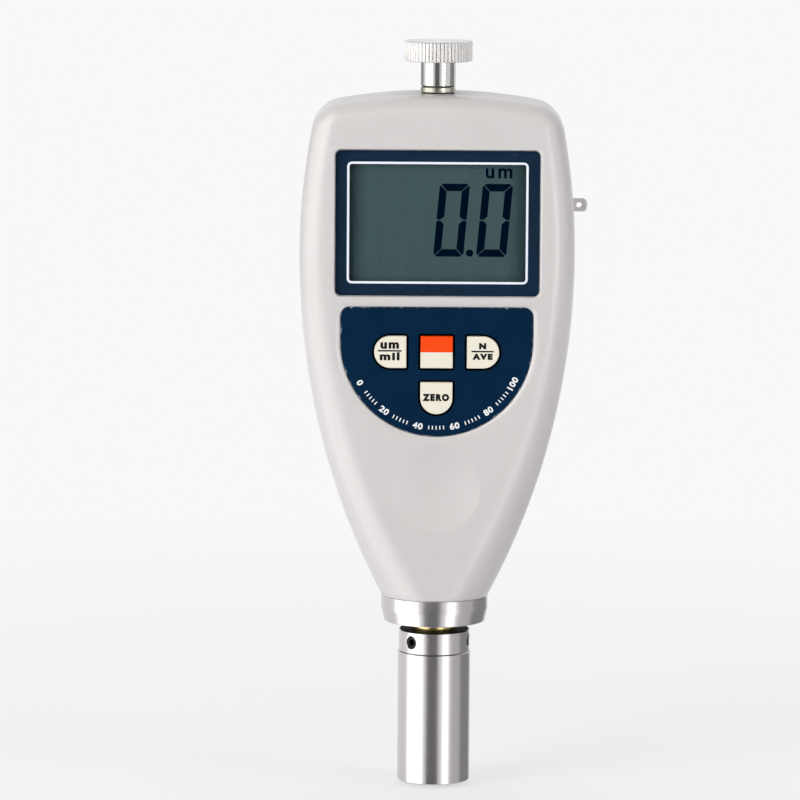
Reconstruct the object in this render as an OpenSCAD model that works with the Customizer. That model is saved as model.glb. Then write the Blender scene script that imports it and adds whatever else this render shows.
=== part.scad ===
// Hand-held surface profile gauge: a shield-shaped case of two moulded shells with a display and
// four keys, a turned probe with a spring-loaded stylus below, and a knurled stand screw on top.
// Origin at the centre of the probe's flat foot, +Z up the probe axis, the display facing -Y.

/* [Case] */
// Width of the case at its widest
body_w = 61.5; // [60:0.5:70]
// Depth of the case from front to back
body_d = 28; // [28:0.5:34]
// Height of the case from its collar to the crest of the crowned top
body_h = 113.6; // [112:0.2:126]
// Height of the widest point above the collar
widest_h = 78.2; // [72:0.2:84]
// Width across the shoulders
shoulder_w = 54.5; // [53:0.5:58]
// Radius of the crowned top
crown_r = 125; // [100:5:250]
// Rounding of the edge around the top
edge_r = 4.5; // [3.5:0.25:5.5]
// Rounding of the upright edges at the top
side_r = 5.5; // [4:0.25:8]
// Height over which the upright edges tighten from the round base
tighten_h = 90; // [60:1:100]
// Wall of both shells
wall = 2.4; // [2.2:0.1:2.8]
// Height over which the base of the case swells to its full depth
swell_h = 43; // [38:1:50]
// Diameter of the thumb dish
dish_d = 20; // [14:0.5:22]
// Depth of the thumb dish
dish_depth = 1.2; // [0.6:0.1:1.4]
// Distance from the keypad's lowest point down to the middle of the dish
dish_drop = 12; // [11:0.1:15]

/* [Display] */
// Width of the window recess
window_w = 45.8; // [44:0.2:46]
// Height of the window recess
window_h = 32.8; // [31:0.2:33]
// Corner radius of the window recess
window_r = 1.5; // [0.8:0.1:2.5]
// Distance from the crest of the case down to the window recess
window_drop = 11.7; // [11.6:0.1:14]
// Thickness of the clear window
pane_t = 1.1; // [0.8:0.1:1.2]
// Depth of the window below the face of the case
pane_sink = 0.4; // [0.2:0.1:0.5]
// Outer width of the printed frame line
line_w = 40.3; // [38:0.1:40.8]
// Outer height of the printed frame line
line_h = 27.2; // [26:0.1:27.8]
// Width of the printed frame line
line_t = 0.5; // [0.4:0.1:1]
// Width of the display glass
lcd_w = 42; // [41.6:0.1:42.6]
// Height of the display glass
lcd_h = 31; // [29:0.2:31.4]
// Thickness of the display glass
lcd_t = 2.2; // [1.8:0.1:2.4]
// Height of one digit
digit_h = 16.3; // [12:0.1:17]
// Width of one digit
digit_w = 6.7; // [5.5:0.1:7]
// Width of a digit's segments
segment_t = 1.75; // [1:0.05:1.8]
// Distance from one digit to the next
digit_pitch = 9.57; // [9:0.01:9.8]
// Lean of the digits in degrees
digit_lean = 5; // [0:0.5:8]

/* [Keypad] */
// Width of the keypad panel and diameter of its round lower edge
panel_w = 42.8; // [41:0.2:44]
// Height of the panel's straight sides
panel_straight = 7.5; // [5.5:0.1:8]
// Radius of the panel's upper corners
panel_r = 2; // [1:0.1:3]
// Thickness of the keypad panel
panel_t = 0.9; // [0.6:0.1:1]
// Depth of the panel below the face of the case
panel_sink = 0.5; // [0.3:0.1:0.6]
// Distance between the window recess and the keypad panel
panel_gap = 2.4; // [2:0.1:4]
// Width and height of a key
key_w = 7.3; // [6.5:0.1:7.6]
// Distance from one key to the next, across and down
key_pitch = 10.35; // [10:0.05:10.8]
// Distance from the panel's upper edge down to the middle of the key row
key_row_drop = 10; // [9:0.1:11]
// Gap around each key
key_gap = 0.3; // [0.2:0.05:0.5]
// Depth of the key faces below the face of the case
key_sink = 0.15; // [0:0.05:0.3]
// Travel of the keys
key_travel = 0.35; // [0.2:0.05:0.5]

/* [Probe] */
// Diameter of the probe barrel and its clamp ring
probe_d = 16.4; // [15:0.2:18]
// Length of the probe barrel
barrel_l = 29.8; // [27:0.2:36]
// Height of the clamp ring
clamp_l = 4.95; // [4.4:0.05:6]
// Height of the brass stem seen between the clamp ring and the collar
stem_gap = 2.05; // [1:0.05:4]
// Diameter of the brass stem
stem_d = 10; // [9:0.1:10.6]
// Diameter of the collar and of the base of the case
collar_d = 24.1; // [23:0.1:26]
// Diameter of the collar's lower edge
collar_low_d = 22.3; // [20:0.1:23]
// Height of the collar's tapered part
collar_cone_h = 2.9; // [2:0.1:4]
// Height of the collar's straight rim
collar_rim_h = 3.1; // [2:0.1:5]
// Height of the collar's spigot inside the case
spigot_h = 8; // [7:0.5:10]
// Diameter of the clamp ring's set screws
set_screw_d = 2.8; // [2:0.1:3]
// Turn of the first set screw from the front, in degrees
set_screw_turn = -42; // [-60:0.1:0]
// Thickness of the foot at the end of the barrel
foot_t = 5.5; // [4:0.1:6]
// Diameter of the stylus rod
stylus_d = 2; // [1.6:0.1:2.2]
// Travel of the stylus out of the foot
stylus_out = 0.8; // [0.4:0.1:1]
// Travel of the stylus into the foot
stylus_in = 0.3; // [0.1:0.1:0.6]

/* [Stand screw] */
// Diameter of the screw's neck and of the bush under it
neck_d = 7.9; // [7:0.1:8.4]
// Length of the screw's neck
neck_l = 5.5; // [4:0.1:8]
// Diameter of the knurled head
head_d = 15.3; // [12:0.1:18]
// Height of the knurled head
head_h = 4.45; // [3:0.05:7]
// Number of grooves around the head
flute_count = 56; // [32:1:64]
// Diameter of the screw's threaded shank
shank_d = 5; // [4:0.1:5.4]
// Height of the bush's ring above the case
ring_h = 1.35; // [0.4:0.05:1.5]

/* [Battery bay] */
// Diameter of one cell
cell_d = 10.5; // [10:0.1:10.5]
// Length of one cell with its nub
cell_l = 44.5; // [43:0.1:45]
// Distance from the crest of the case down to the battery bay
bay_drop = 16.4; // [15.6:0.1:18]
// Room for the contacts at each end of the cells
contact_room = 3; // [2.4:0.1:3.4]
// Thickness of the battery cover
cover_t = 2; // [1.6:0.1:2]
// Overlap of the cover on the walls of the bay
cover_lip = 1; // [0.6:0.1:1.2]

/* [Lanyard eye] */
// Height of the lanyard eye
eye_h = 2.9; // [2.4:0.1:4]
// Length of the lanyard eye outside the case
eye_out = 3.2; // [2.6:0.1:5]
// Thickness of the lanyard eye
eye_t = 1.6; // [1.2:0.1:2]
// Diameter of the hole in the lanyard eye
eye_bore_d = 1.3; // [1:0.1:1.6]
// Distance from the crest of the case down to the middle of the eye
eye_drop = 25; // [22:0.1:40]

/* [Hidden] */
$fn = 64;

// Overshoot of cuts and the general clearances
over = 1;
slip = 0.03;
fit_gap = 0.15;

// Heights along the probe axis, from the foot up
collar_z = barrel_l + clamp_l + stem_gap;
base_z = collar_z + collar_cone_h + collar_rim_h;
top_z = base_z + body_h;
spigot_z = base_z + spigot_h;

// Depths through the case, from the front face back
front_y = -body_d / 2;
wall_y = front_y + wall;
pane_y = front_y + pane_sink;
mask_t = 0.1;
window_floor_y = pane_y + pane_t + mask_t;
lcd_gap = 0.3;
lcd_y = wall_y + lcd_gap;
lcd_back_y = lcd_y + lcd_t;
panel_y = front_y + panel_sink;
panel_floor_y = panel_y + panel_t;
flange_gap = 0.1;
flange_t = 0.8;
flange_lip = 0.8;
key_back_y = wall_y + flange_gap + flange_t;
plunger_out = 0.8;
switch_h = 2.5;
switch_w = 6;
switch_y = key_back_y + plunger_out;
board_y = switch_y + switch_h;
board_t = 1.6;
board_back_y = board_y + board_t;

// Heights of the display and keypad
window_z = top_z - window_drop - window_h / 2;
panel_top_z = top_z - window_drop - window_h - panel_gap;
panel_arc_z = panel_top_z - panel_straight;
panel_low_z = panel_arc_z - panel_w / 2;
key_row_z = panel_top_z - key_row_drop;
dish_z = panel_low_z - dish_drop;

// Outline of the case: two flank arcs that meet at the widest point
collar_r = collar_d / 2;
function drop(r, run) = r - sqrt(r * r - run * run);
function arc_through(run, fall) = (run * run + fall * fall) / (2 * fall);
function ease(t) = let(c = max(0, min(1, t))) c * c * (3 - 2 * c);
function mix(a, b, t) = a + (b - a) * t;
lower_r = arc_through(widest_h, body_w / 2 - collar_r);
shoulder_sag = drop(crown_r, shoulder_w / 2);
upper_r = arc_through(body_h - shoulder_sag - widest_h, (body_w - shoulder_w) / 2);
swell_r = arc_through(swell_h, body_d / 2 - collar_r);
flat_min = 0.4;
round_min = 0.8;
function crown_share(h) = ease((h - widest_h) / (body_h - widest_h));
function flank(h) = body_w / 2 - (h < widest_h ? drop(lower_r, widest_h - h) : drop(upper_r, h - widest_h));
function half_width(h) = flank(h - shoulder_sag * crown_share(h));
function half_depth(h) = body_d / 2 - (h < swell_h ? drop(swell_r, swell_h - h) : 0);
function upright_r(h) = min(
    side_r + (collar_r - side_r) * pow(max(0, 1 - h / tighten_h), 2),
    min(half_width(h), half_depth(h)) - flat_min);

// One section of the front half of the case at height h, drawn in by inset and shrunk by share
round_steps = 8;
flat_steps = 6;
function section(h, inset, share, open_y) =
    let(a = half_width(h) - inset, b = half_depth(h) - inset,
        r = max(upright_r(h) - inset, round_min), sag = crown_share(h))
    [for (p = concat(
        [[a, open_y]],
        [for (i = [0:round_steps]) let(t = 90 * i / round_steps)
            [a - r + r * cos(t), r - b - r * sin(t)]],
        [for (i = [1:flat_steps - 1]) [mix(a - r, r - a, i / flat_steps), -b]],
        [for (i = [0:round_steps]) let(t = 90 + 90 * i / round_steps)
            [r - a + r * cos(t), r - b - r * sin(t)]],
        [[-a, open_y]]))
        [p[0] * share, mix(open_y, p[1], share), base_z + h - drop(crown_r, p[0] * share) * sag]];

// Front half of the case as a solid, inset from the outer skin
skin_steps = 18;
edge_steps = 5;
cap_shares = [0.6, 0.25];
module case_front(inset = 0, open_y = 0, low_h = 0) {
    top_h = body_h - inset;
    edge = max(edge_r - inset, round_min);
    levels = concat(
        [for (i = [0:skin_steps]) [mix(low_h, top_h - edge, i / skin_steps), inset, 1]],
        [for (i = [1:edge_steps]) let(t = 90 * i / edge_steps)
            [top_h - edge + edge * sin(t), inset + edge * (1 - cos(t)), 1]],
        [for (k = cap_shares) [top_h, inset + edge, k]]);
    rings = [for (l = levels) section(l[0], l[1], l[2], open_y)];
    count = len(rings[0]);
    last = len(rings) - 1;
    peak = [[0, open_y, base_z + top_h]];
    points = concat([for (r = rings) each r], peak);
    sides = [for (i = [0:last - 1], j = [0:count - 1], half = [0, 1])
        let(k = (j + 1) % count, p = i * count, q = p + count)
        half == 0 ? [p + j, q + k, q + j] : [p + j, p + k, q + k]];
    cap = [for (j = [0:count - 1]) [last * count + j, last * count + (j + 1) % count, len(points) - 1]];
    polyhedron(points, concat([[for (j = [count - 1:-1:0]) j]], sides, cap));
}
module case_rear(inset = 0, open_y = 0, low_h = 0) {
    mirror([0, 1, 0]) case_front(inset, open_y, low_h);
}

// Flat shapes drawn facing the front: width along X, height along Z
module slab(y0, y1) {
    translate([0, y1, 0]) rotate([90, 0, 0]) linear_extrude(y1 - y0) children();
}
module rounded_rect(w, h, r) {
    square([w - 2 * r, h], center = true);
    square([w, h - 2 * r], center = true);
    for (x = [-1, 1], z = [-1, 1]) translate([x * (w / 2 - r), z * (h / 2 - r)]) circle(r);
}
module rod_y(x, z, r, y0, y1) {
    translate([x, y1, z]) rotate([90, 0, 0]) cylinder(r = r, h = y1 - y0);
}
module tube(r, bore, z0, z1) {
    translate([0, 0, z0]) difference() {
        cylinder(r = r, h = z1 - z0);
        translate([0, 0, -over]) cylinder(r = bore, h = z1 - z0 + 2 * over);
    }
}
module panel_shape(grow = 0) {
    w = panel_w + 2 * grow;
    h = panel_straight + grow;
    translate([0, panel_arc_z]) {
        intersection() {
            circle(w / 2);
            translate([-w / 2, -w / 2]) square([w, w / 2]);
        }
        translate([-w / 2, 0]) square([w, h - panel_r]);
        translate([panel_r - w / 2, 0]) square([w - 2 * panel_r, h]);
        for (x = [-1, 1]) translate([x * (w / 2 - panel_r), h - panel_r]) circle(panel_r);
    }
}

// Keys: a square face that may be round on one side
KEY_LEFT = 180;
KEY_RIGHT = 0;
KEY_LOWER = -90;
key_places = [[-key_pitch, key_row_z], [0, key_row_z], [key_pitch, key_row_z], [0, key_row_z - key_pitch]];
key_rounds = [KEY_LEFT, undef, KEY_RIGHT, KEY_LOWER];
module key_shape(which, grow = 0) {
    w = key_w + 2 * grow;
    translate(key_places[which])
        if (is_undef(key_rounds[which])) square(w, center = true);
        else rotate(key_rounds[which]) {
            circle(w / 2);
            translate([-w / 2, -w / 2]) square([w / 2, w]);
        }
}
module keycap(which) {
    slab(front_y + key_sink, key_back_y) key_shape(which);
    slab(key_back_y - flange_t, key_back_y) key_shape(which, flange_lip);
}
plunger_r = 1.7;
plunger_in = 1;
module plunger(which) {
    place = key_places[which];
    rod_y(place[0], place[1], plunger_r, key_back_y, switch_y + plunger_in);
}

// Screws that close the case and hold the board
post_r = 2.8;
case_screw_r = 1.2;
case_head_r = 2.4;
case_head_h = 1.6;
case_seat_y = 4;
case_screw_in = 8;
upper_post_drop = 8.1;
lower_post_h = 16.4;
upper_post_x = half_width(body_h - upper_post_drop) - wall - post_r - 0.9;
lower_post_x = half_width(lower_post_h) - wall - post_r - 1.6;
case_posts = [for (x = [-1, 1]) each [
    [x * upper_post_x, top_z - upper_post_drop], [x * lower_post_x, base_z + lower_post_h]]];
board_post_r = 2.3;
board_screw_r = 0.9;
board_head_r = 1.8;
board_head_h = 1.2;
board_screw_in = 3.4;
board_top_z = window_z + window_h / 2 + 5.9;
board_low_z = panel_low_z - 4;
board_post_top_x = 14.6;
board_post_low_x = 14.4;
board_post_drop = 2.7;
board_post_rise = 3.2;
board_posts = [for (x = [-1, 1]) each [
    [x * board_post_top_x, board_top_z - board_post_drop], [x * board_post_low_x, board_low_z + board_post_rise]]];

// Battery bay, opening at the back
cell_gap = 0.4;
cell_count = 4;
cell_pitch = cell_d + cell_gap;
bay_w = cell_count * cell_pitch + cell_gap;
bay_h = cell_l + 2 * contact_room;
bay_top_z = top_z - bay_drop;
bay_low_z = bay_top_z - bay_h;
bay_wall = 1.4;
cover_y = body_d / 2 - cover_t;
cover_gap = 0.15;
cell_y = cover_y - cover_gap - cell_d / 2;
bay_floor_y = cell_y - cell_d / 2 - cover_gap;
cover_w = bay_w + 2 * cover_lip;
cover_h = bay_h + 2 * cover_lip;
cover_r = 3;
function cell_x(i) = (i - (cell_count - 1) / 2) * cell_pitch;
function nub_up(i) = i % 2 == 0;
module bay_box(grow, y0, y1) {
    translate([-bay_w / 2 - grow, y0, bay_low_z - grow]) cube([bay_w + 2 * grow, y1 - y0, bay_h + 2 * grow]);
}
module cover_shape(grow) {
    translate([0, bay_low_z + bay_h / 2]) rounded_rect(cover_w + 2 * grow, cover_h + 2 * grow, cover_r);
}

// Contact strips: a plate, with a stud for a nub or a bent leaf for a flat end, and tails to the board
contact_t = 0.4;
contact_w = 8;
stud_r = 2;
leaf_w = 5;
tail_w = 1.5;
module contact(stud) {
    translate([-contact_w / 2, -contact_w / 2, 0]) cube([contact_w, contact_w, contact_t]);
    if (stud) cylinder(r = stud_r, h = contact_room);
    else translate([-leaf_w / 2, 0, 0]) rotate([90, 0, 90]) linear_extrude(leaf_w)
        polygon([[-3.6, 0], [-3.1, contact_t], [1.2, contact_room], [3.4, 1.2], [3.2, 0.9], [1.2, contact_room - 0.4],
            [-2.4, 0]]);
}

// Bush and screw on top of the case
bush_r = neck_d / 2;
bush_top_z = top_z + ring_h;
bush_flange_r = bush_r + 2.5;
bush_flange_t = 3;
bush_flange_z = top_z - wall - 0.5;
bush_low_z = bush_flange_z - bush_flange_t - 4;
rib_w = 2 * bush_flange_r + 7;
rib_h = 2.2;
rib_z = bush_flange_z - bush_flange_t - fit_gap - rib_h;
washer_t = 0.3;
neck_z = bush_top_z + washer_t;
head_z = neck_z + neck_l;

// Rib in both shells that holds the collar by its groove
groove_h = 2.4;
groove_depth = 1;
groove_z = base_z + 2.6;
spigot_r = collar_r - wall - 0.25;
module holding_ribs() {
    difference() {
        translate([0, 0, groove_z + fit_gap]) cylinder(r = collar_d, h = groove_h - 2 * fit_gap);
        translate([0, 0, groove_z]) cylinder(r = spigot_r - groove_depth + fit_gap, h = groove_h);
    }
    difference() {
        translate([-rib_w / 2, -body_d, rib_z]) cube([rib_w, 2 * body_d, rib_h]);
        translate([0, 0, rib_z - over]) cylinder(r = bush_r + fit_gap, h = rib_h + 2 * over);
    }
}

// Lanyard eye held between the shells
eye_z = top_z - eye_drop;
eye_wall_x = half_width(eye_z - base_z + shoulder_sag * crown_share(eye_z - base_z));
eye_foot_t = 1.5;
eye_foot_h = eye_h + 3;
eye_foot_gap = 0.35;
eye_foot_x = eye_wall_x - wall - eye_foot_gap;
eye_bore_x = eye_wall_x + 1.4;
eye_corner_r = 1;

// Openings through both shells at the parting plane
module shared_openings() {
    translate([0, 0, bush_flange_z]) cylinder(r = bush_r + fit_gap, h = bush_top_z - bush_flange_z + over);
    translate([eye_foot_x - over, -eye_t / 2 - slip, eye_z - eye_h / 2 - fit_gap])
        cube([wall + 4 * over, eye_t + 2 * slip, eye_h + 2 * fit_gap]);
}

module front_shell() {
    color("gainsboro") difference() {
        case_front();
        difference() {
            case_front(wall, over, -over);
            holding_ribs();
            for (p = case_posts) rod_y(p[0], p[1], post_r, -body_d, over);
            for (p = board_posts) rod_y(p[0], p[1], board_post_r, -body_d, board_y);
        }
        slab(front_y - over, window_floor_y) translate([0, window_z]) rounded_rect(window_w, window_h, window_r);
        slab(front_y - over, lcd_y) translate([0, window_z])
            square([line_w + 2 * fit_gap, line_h + 2 * fit_gap], center = true);
        slab(front_y - over, panel_floor_y) panel_shape(fit_gap);
        for (i = [0:3]) slab(front_y - over, wall_y + over) key_shape(i, key_gap);
        dish_cut();
        for (p = case_posts) rod_y(p[0], p[1], case_screw_r + slip, -case_screw_in - over, over);
        for (p = board_posts) rod_y(p[0], p[1], board_screw_r + slip, board_y - board_screw_in - slip, board_y + over);
        shared_openings();
    }
}
// Shallow spherical dish for the thumb
module dish_cut() {
    r = arc_through(dish_d / 2, dish_depth);
    face_y = -half_depth(dish_z - base_z);
    translate([0, face_y + dish_depth - r, dish_z]) sphere(r, $fn = 96);
}

module rear_shell() {
    color("gainsboro") difference() {
        case_rear();
        difference() {
            case_rear(wall, over, -over);
            holding_ribs();
            for (p = case_posts) rod_y(p[0], p[1], post_r, -over, body_d);
            bay_box(bay_wall, -over, body_d);
        }
        bay_box(0, bay_floor_y, body_d);
        slab(cover_y, body_d) cover_shape(cover_gap);
        for (p = case_posts) {
            rod_y(p[0], p[1], case_screw_r + fit_gap, -over, body_d);
            rod_y(p[0], p[1], case_head_r + fit_gap, case_seat_y, body_d);
        }
        for (i = [0, cell_count - 1]) translate([cell_x(i) - tail_w / 2 - fit_gap, -over, bay_low_z - fit_gap])
            cube([tail_w + 2 * fit_gap, body_d / 2, contact_t + 2 * fit_gap]);
        shared_openings();
    }
}

// Cover of the battery bay, with grip grooves near its lower edge
grip_count = 6;
grip_pitch = 1.6;
grip_w = 16;
grip_r = 0.45;
module battery_cover() {
    color("gainsboro") difference() {
        intersection() {
            case_rear();
            slab(cover_y, body_d) cover_shape(0);
        }
        for (i = [0:grip_count - 1])
            translate([-grip_w / 2, body_d / 2, bay_low_z + 5 + i * grip_pitch]) rotate([0, 90, 0])
                cylinder(r = grip_r, h = grip_w);
    }
}

module case_screws() {
    color("silver") for (p = case_posts) difference() {
        union() {
            rod_y(p[0], p[1], case_head_r, case_seat_y, case_seat_y + case_head_h);
            rod_y(p[0], p[1], case_screw_r, -case_screw_in, case_seat_y);
        }
        cross_cut(p, case_head_r, case_seat_y + case_head_h);
    }
}
// Cross recess in a screw head that faces the back
cross_w = 0.6;
cross_depth = 0.8;
module cross_cut(p, head_r, y) {
    for (size = [[head_r * 1.3, cross_w], [cross_w, head_r * 1.3]])
        slab(y - cross_depth, y + over) translate(p) square(size, center = true);
}

module lanyard_eye() {
    tip_x = eye_wall_x + eye_out;
    color("gainsboro") difference() {
        union() {
            translate([eye_foot_x - eye_foot_t, -eye_t / 2, eye_z - eye_foot_h / 2])
                cube([eye_foot_t, eye_t, eye_foot_h]);
            slab(-eye_t / 2, eye_t / 2) translate([0, eye_z]) {
                translate([eye_foot_x - eye_foot_t / 2, -eye_h / 2])
                    square([tip_x - eye_corner_r - eye_foot_x + eye_foot_t / 2, eye_h]);
                translate([tip_x - 2 * eye_corner_r, eye_corner_r - eye_h / 2])
                    square([2 * eye_corner_r, eye_h - 2 * eye_corner_r]);
                for (z = [-1, 1]) translate([tip_x - eye_corner_r, z * (eye_h / 2 - eye_corner_r)])
                    circle(eye_corner_r);
            }
        }
        rod_y(eye_bore_x, eye_z, eye_bore_d / 2, -eye_t, eye_t);
    }
}

module display_window() {
    color("lightcyan", 0.4) slab(pane_y, pane_y + pane_t) translate([0, window_z])
        rounded_rect(window_w - 2 * fit_gap, window_h - 2 * fit_gap, window_r - fit_gap);
}
// Dark border printed behind the window
line_r = 1.1;
module window_mask() {
    color("midnightblue") slab(pane_y + pane_t, window_floor_y) translate([0, window_z]) difference() {
        rounded_rect(window_w - 2 * fit_gap, window_h - 2 * fit_gap, window_r - fit_gap);
        rounded_rect(line_w, line_h, line_r);
    }
}
// Pale frame line printed inside the border
module window_line() {
    color("white") slab(pane_y + pane_t, window_floor_y) translate([0, window_z]) difference() {
        rounded_rect(line_w, line_h, line_r);
        rounded_rect(line_w - 2 * line_t, line_h - 2 * line_t, line_r - line_t);
    }
}

// Two bonded plates: the rear one is taller and carries the contact edge
lcd_edge = 2;
module lcd_glass() {
    color("darkslategray") {
        slab(lcd_y, lcd_y + lcd_t / 2) translate([0, window_z]) square([lcd_w, lcd_h], center = true);
        slab(lcd_y + lcd_t / 2, lcd_back_y) translate([-lcd_w / 2, window_z - lcd_h / 2 - lcd_edge])
            square([lcd_w, lcd_h + lcd_edge]);
    }
}

// The reading 0.0: segments of two leaning digits and a point
digit_t = 0.05;
digit_low_z = window_z - digit_h / 2 + 0.55;
digit_x = -0.95;
segment_gap = 0.12;
function lean(p) = [p[0] + (p[1] + digit_h / 2) * tan(digit_lean), p[1]];
module zero_digit(x) {
    w = digit_w;
    h = digit_h;
    t = segment_t;
    g = segment_gap;
    bar = [[g, h / 2 - g], [w - g, h / 2 - g], [w - t - g, h / 2 - t], [t + g, h / 2 - t]];
    side = [[0, h / 2 - 2 * g], [t, h / 2 - t - g], [t, t / 2], [t / 2, g], [0, g]];
    translate([x, digit_low_z + h / 2]) for (flip = [1, -1]) {
        polygon([for (p = bar) lean([p[0], p[1] * flip])]);
        polygon([for (p = side) lean([p[0], p[1] * flip])]);
        polygon([for (p = side) lean([w - p[0], p[1] * flip])]);
    }
}
point_r = 0.75;
module lcd_digits() {
    color("#0b1020") slab(lcd_y - digit_t, lcd_y) {
        for (i = [0, 1]) zero_digit(digit_x + i * digit_pitch);
        translate([digit_x + digit_w + (digit_pitch - digit_w) / 2, digit_low_z + point_r]) circle(point_r);
    }
}

// Frame that holds the display glass against the board
frame_rim = 1.2;
frame_bed = 1.2;
zebra_h = 2;
zebra_z = window_z - lcd_h / 2 - lcd_edge + 0.1;
// Clearance of the frame from the posts of the case and of the board
frame_clear = 0.3;
module lcd_frame() {
    h = lcd_h + lcd_edge;
    color("whitesmoke") difference() {
        translate([0, 0, -lcd_edge / 2]) slab(lcd_y + lcd_t / 2, board_y) translate([0, window_z])
            square([lcd_w + 2 * frame_rim, h + 2 * frame_rim], center = true);
        translate([0, 0, -lcd_edge / 2]) slab(lcd_y - over, lcd_back_y) translate([0, window_z])
            square([lcd_w + 2 * fit_gap, h + 2 * fit_gap], center = true);
        slab(lcd_y, board_y + over) translate([0, window_z + frame_bed / 2])
            square([lcd_w - 2 * frame_bed, lcd_h - 3 * frame_bed], center = true);
        slab(lcd_y, board_y + over) translate([-lcd_w / 2 + frame_bed, zebra_z - fit_gap])
            square([lcd_w - 2 * frame_bed, zebra_h + 2 * fit_gap]);
        for (p = case_posts) rod_y(p[0], p[1], post_r + frame_clear, -body_d, over);
        for (p = board_posts) rod_y(p[0], p[1], board_post_r + frame_clear, -body_d, over);
    }
}
module zebra_strip() {
    color("dimgray") slab(lcd_back_y, board_y) translate([-lcd_w / 2 + frame_bed + fit_gap, zebra_z])
        square([lcd_w - 2 * frame_bed - 2 * fit_gap, zebra_h]);
}

module keypad_panel() {
    color("midnightblue") slab(panel_y, panel_floor_y) difference() {
        panel_shape();
        for (i = [0:3]) key_shape(i, key_gap);
    }
}
module unit_key() { color("ivory") keycap(0); }
// The upper half of the power key's face is orange
module power_key() { color("orangered") keycap(1); }
module average_key() { color("ivory") keycap(2); }
module zero_key() { color("ivory") keycap(3); }
module unit_plunger() { color("black") plunger(0); }
module power_plunger() { color("black") plunger(1); }
module average_plunger() { color("black") plunger(2); }
module zero_plunger() { color("black") plunger(3); }
module key_switches() {
    color("darkgray") for (p = key_places) difference() {
        slab(switch_y, board_y) translate(p) square(switch_w, center = true);
        rod_y(p[0], p[1], plunger_r + slip, switch_y - over, switch_y + plunger_in + key_travel + fit_gap);
    }
}

// Board behind the display and keys, notched for the case posts and the bush rib
board_w = 48;
board_low_w = 36;
board_top_w = 2 * (upper_post_x - post_r) - 3;
board_taper_z = board_low_z + 19;
board_notch_z = board_top_z - 8;
module circuit_board() {
    color("darkgreen") difference() {
        slab(board_y, board_back_y) difference() {
            polygon([[-board_low_w / 2, board_low_z], [board_low_w / 2, board_low_z], [board_w / 2, board_taper_z],
                [board_w / 2, board_notch_z], [board_top_w / 2, board_notch_z], [board_top_w / 2, board_top_z],
                [-board_top_w / 2, board_top_z], [-board_top_w / 2, board_notch_z], [-board_w / 2, board_notch_z],
                [-board_w / 2, board_taper_z]]);
            translate([-rib_w / 2 - fit_gap, rib_z - over])
                square([rib_w + 2 * fit_gap, board_top_z - rib_z + 2 * over]);
        }
        for (p = board_posts) rod_y(p[0], p[1], board_screw_r + fit_gap, board_y - over, board_back_y + over);
    }
}
module board_screws() {
    color("silver") for (p = board_posts) difference() {
        union() {
            rod_y(p[0], p[1], board_head_r, board_back_y, board_back_y + board_head_h);
            rod_y(p[0], p[1], board_screw_r, board_y - board_screw_in, board_back_y);
        }
        cross_cut(p, board_head_r, board_back_y + board_head_h);
    }
}
chip_w = 12;
chip_t = 1.2;
module processor_chip() {
    color("#202020") slab(board_back_y, board_back_y + chip_t) translate([0, window_z - 8])
        square(chip_w, center = true);
}

// Connector on the board and the lead that comes to it from the transducer
connector_w = 8;
connector_d = 3;
connector_h = 5;
connector_z = board_low_z + 0.7;
connector_y = board_back_y + connector_d / 2;
module lead_connector() {
    color("ivory") translate([-connector_w / 2, board_back_y, connector_z])
        cube([connector_w, connector_d, connector_h]);
}
lead_r = 0.8;
lead_rise = 2;
lead_top_z = connector_z + connector_h + lead_rise;
module probe_lead() {
    bend = -connector_y / 2;
    color("slategray") {
        translate([0, 0, cap_z + fit_gap]) cylinder(r = lead_r, h = lead_top_z - cap_z - fit_gap);
        translate([0, connector_y, connector_z + connector_h])
            cylinder(r = lead_r, h = lead_top_z - connector_z - connector_h);
        translate([0, -bend, lead_top_z]) rotate([90, 0, 90]) rotate_extrude(angle = 180)
            translate([bend, 0]) circle(lead_r);
    }
}

nub_r = 1.9;
nub_h = 0.8;
module battery_cells() {
    color("darkorange") for (i = [0:cell_count - 1])
        translate([cell_x(i), cell_y, bay_low_z + contact_room + cell_l / 2]) rotate([nub_up(i) ? 0 : 180, 0, 0])
            translate([0, 0, -cell_l / 2]) {
                cylinder(r = cell_d / 2, h = cell_l - nub_h);
                cylinder(r = nub_r, h = cell_l);
            }
}
module upper_contacts() {
    color("silver") for (i = [0:cell_count - 1])
        translate([cell_x(i), cell_y, bay_top_z]) mirror([0, 0, 1]) contact(nub_up(i));
}
module lower_contacts() {
    color("silver") for (i = [0:cell_count - 1]) translate([cell_x(i), 0, bay_low_z]) {
        translate([0, cell_y, 0]) contact(!nub_up(i));
        if (i == 0 || i == cell_count - 1) translate([-tail_w / 2, board_back_y, 0])
            cube([tail_w, cell_y - board_back_y, contact_t]);
    }
}

module body_collar() {
    bore = stem_d / 2 + slip;
    rim_z = collar_z + collar_cone_h;
    color("silver") rotate_extrude() polygon([
        [bore, collar_z], [collar_low_d / 2, collar_z], [collar_r, rim_z], [collar_r, base_z],
        [spigot_r, base_z], [spigot_r, groove_z], [spigot_r - groove_depth, groove_z],
        [spigot_r - groove_depth, groove_z + groove_h], [spigot_r, groove_z + groove_h],
        [spigot_r, spigot_z], [bore, spigot_z]]);
}

// Stem that carries the probe, bored for the stylus, its stop and its spring
stem_low_z = foot_t + 0.5;
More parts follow.
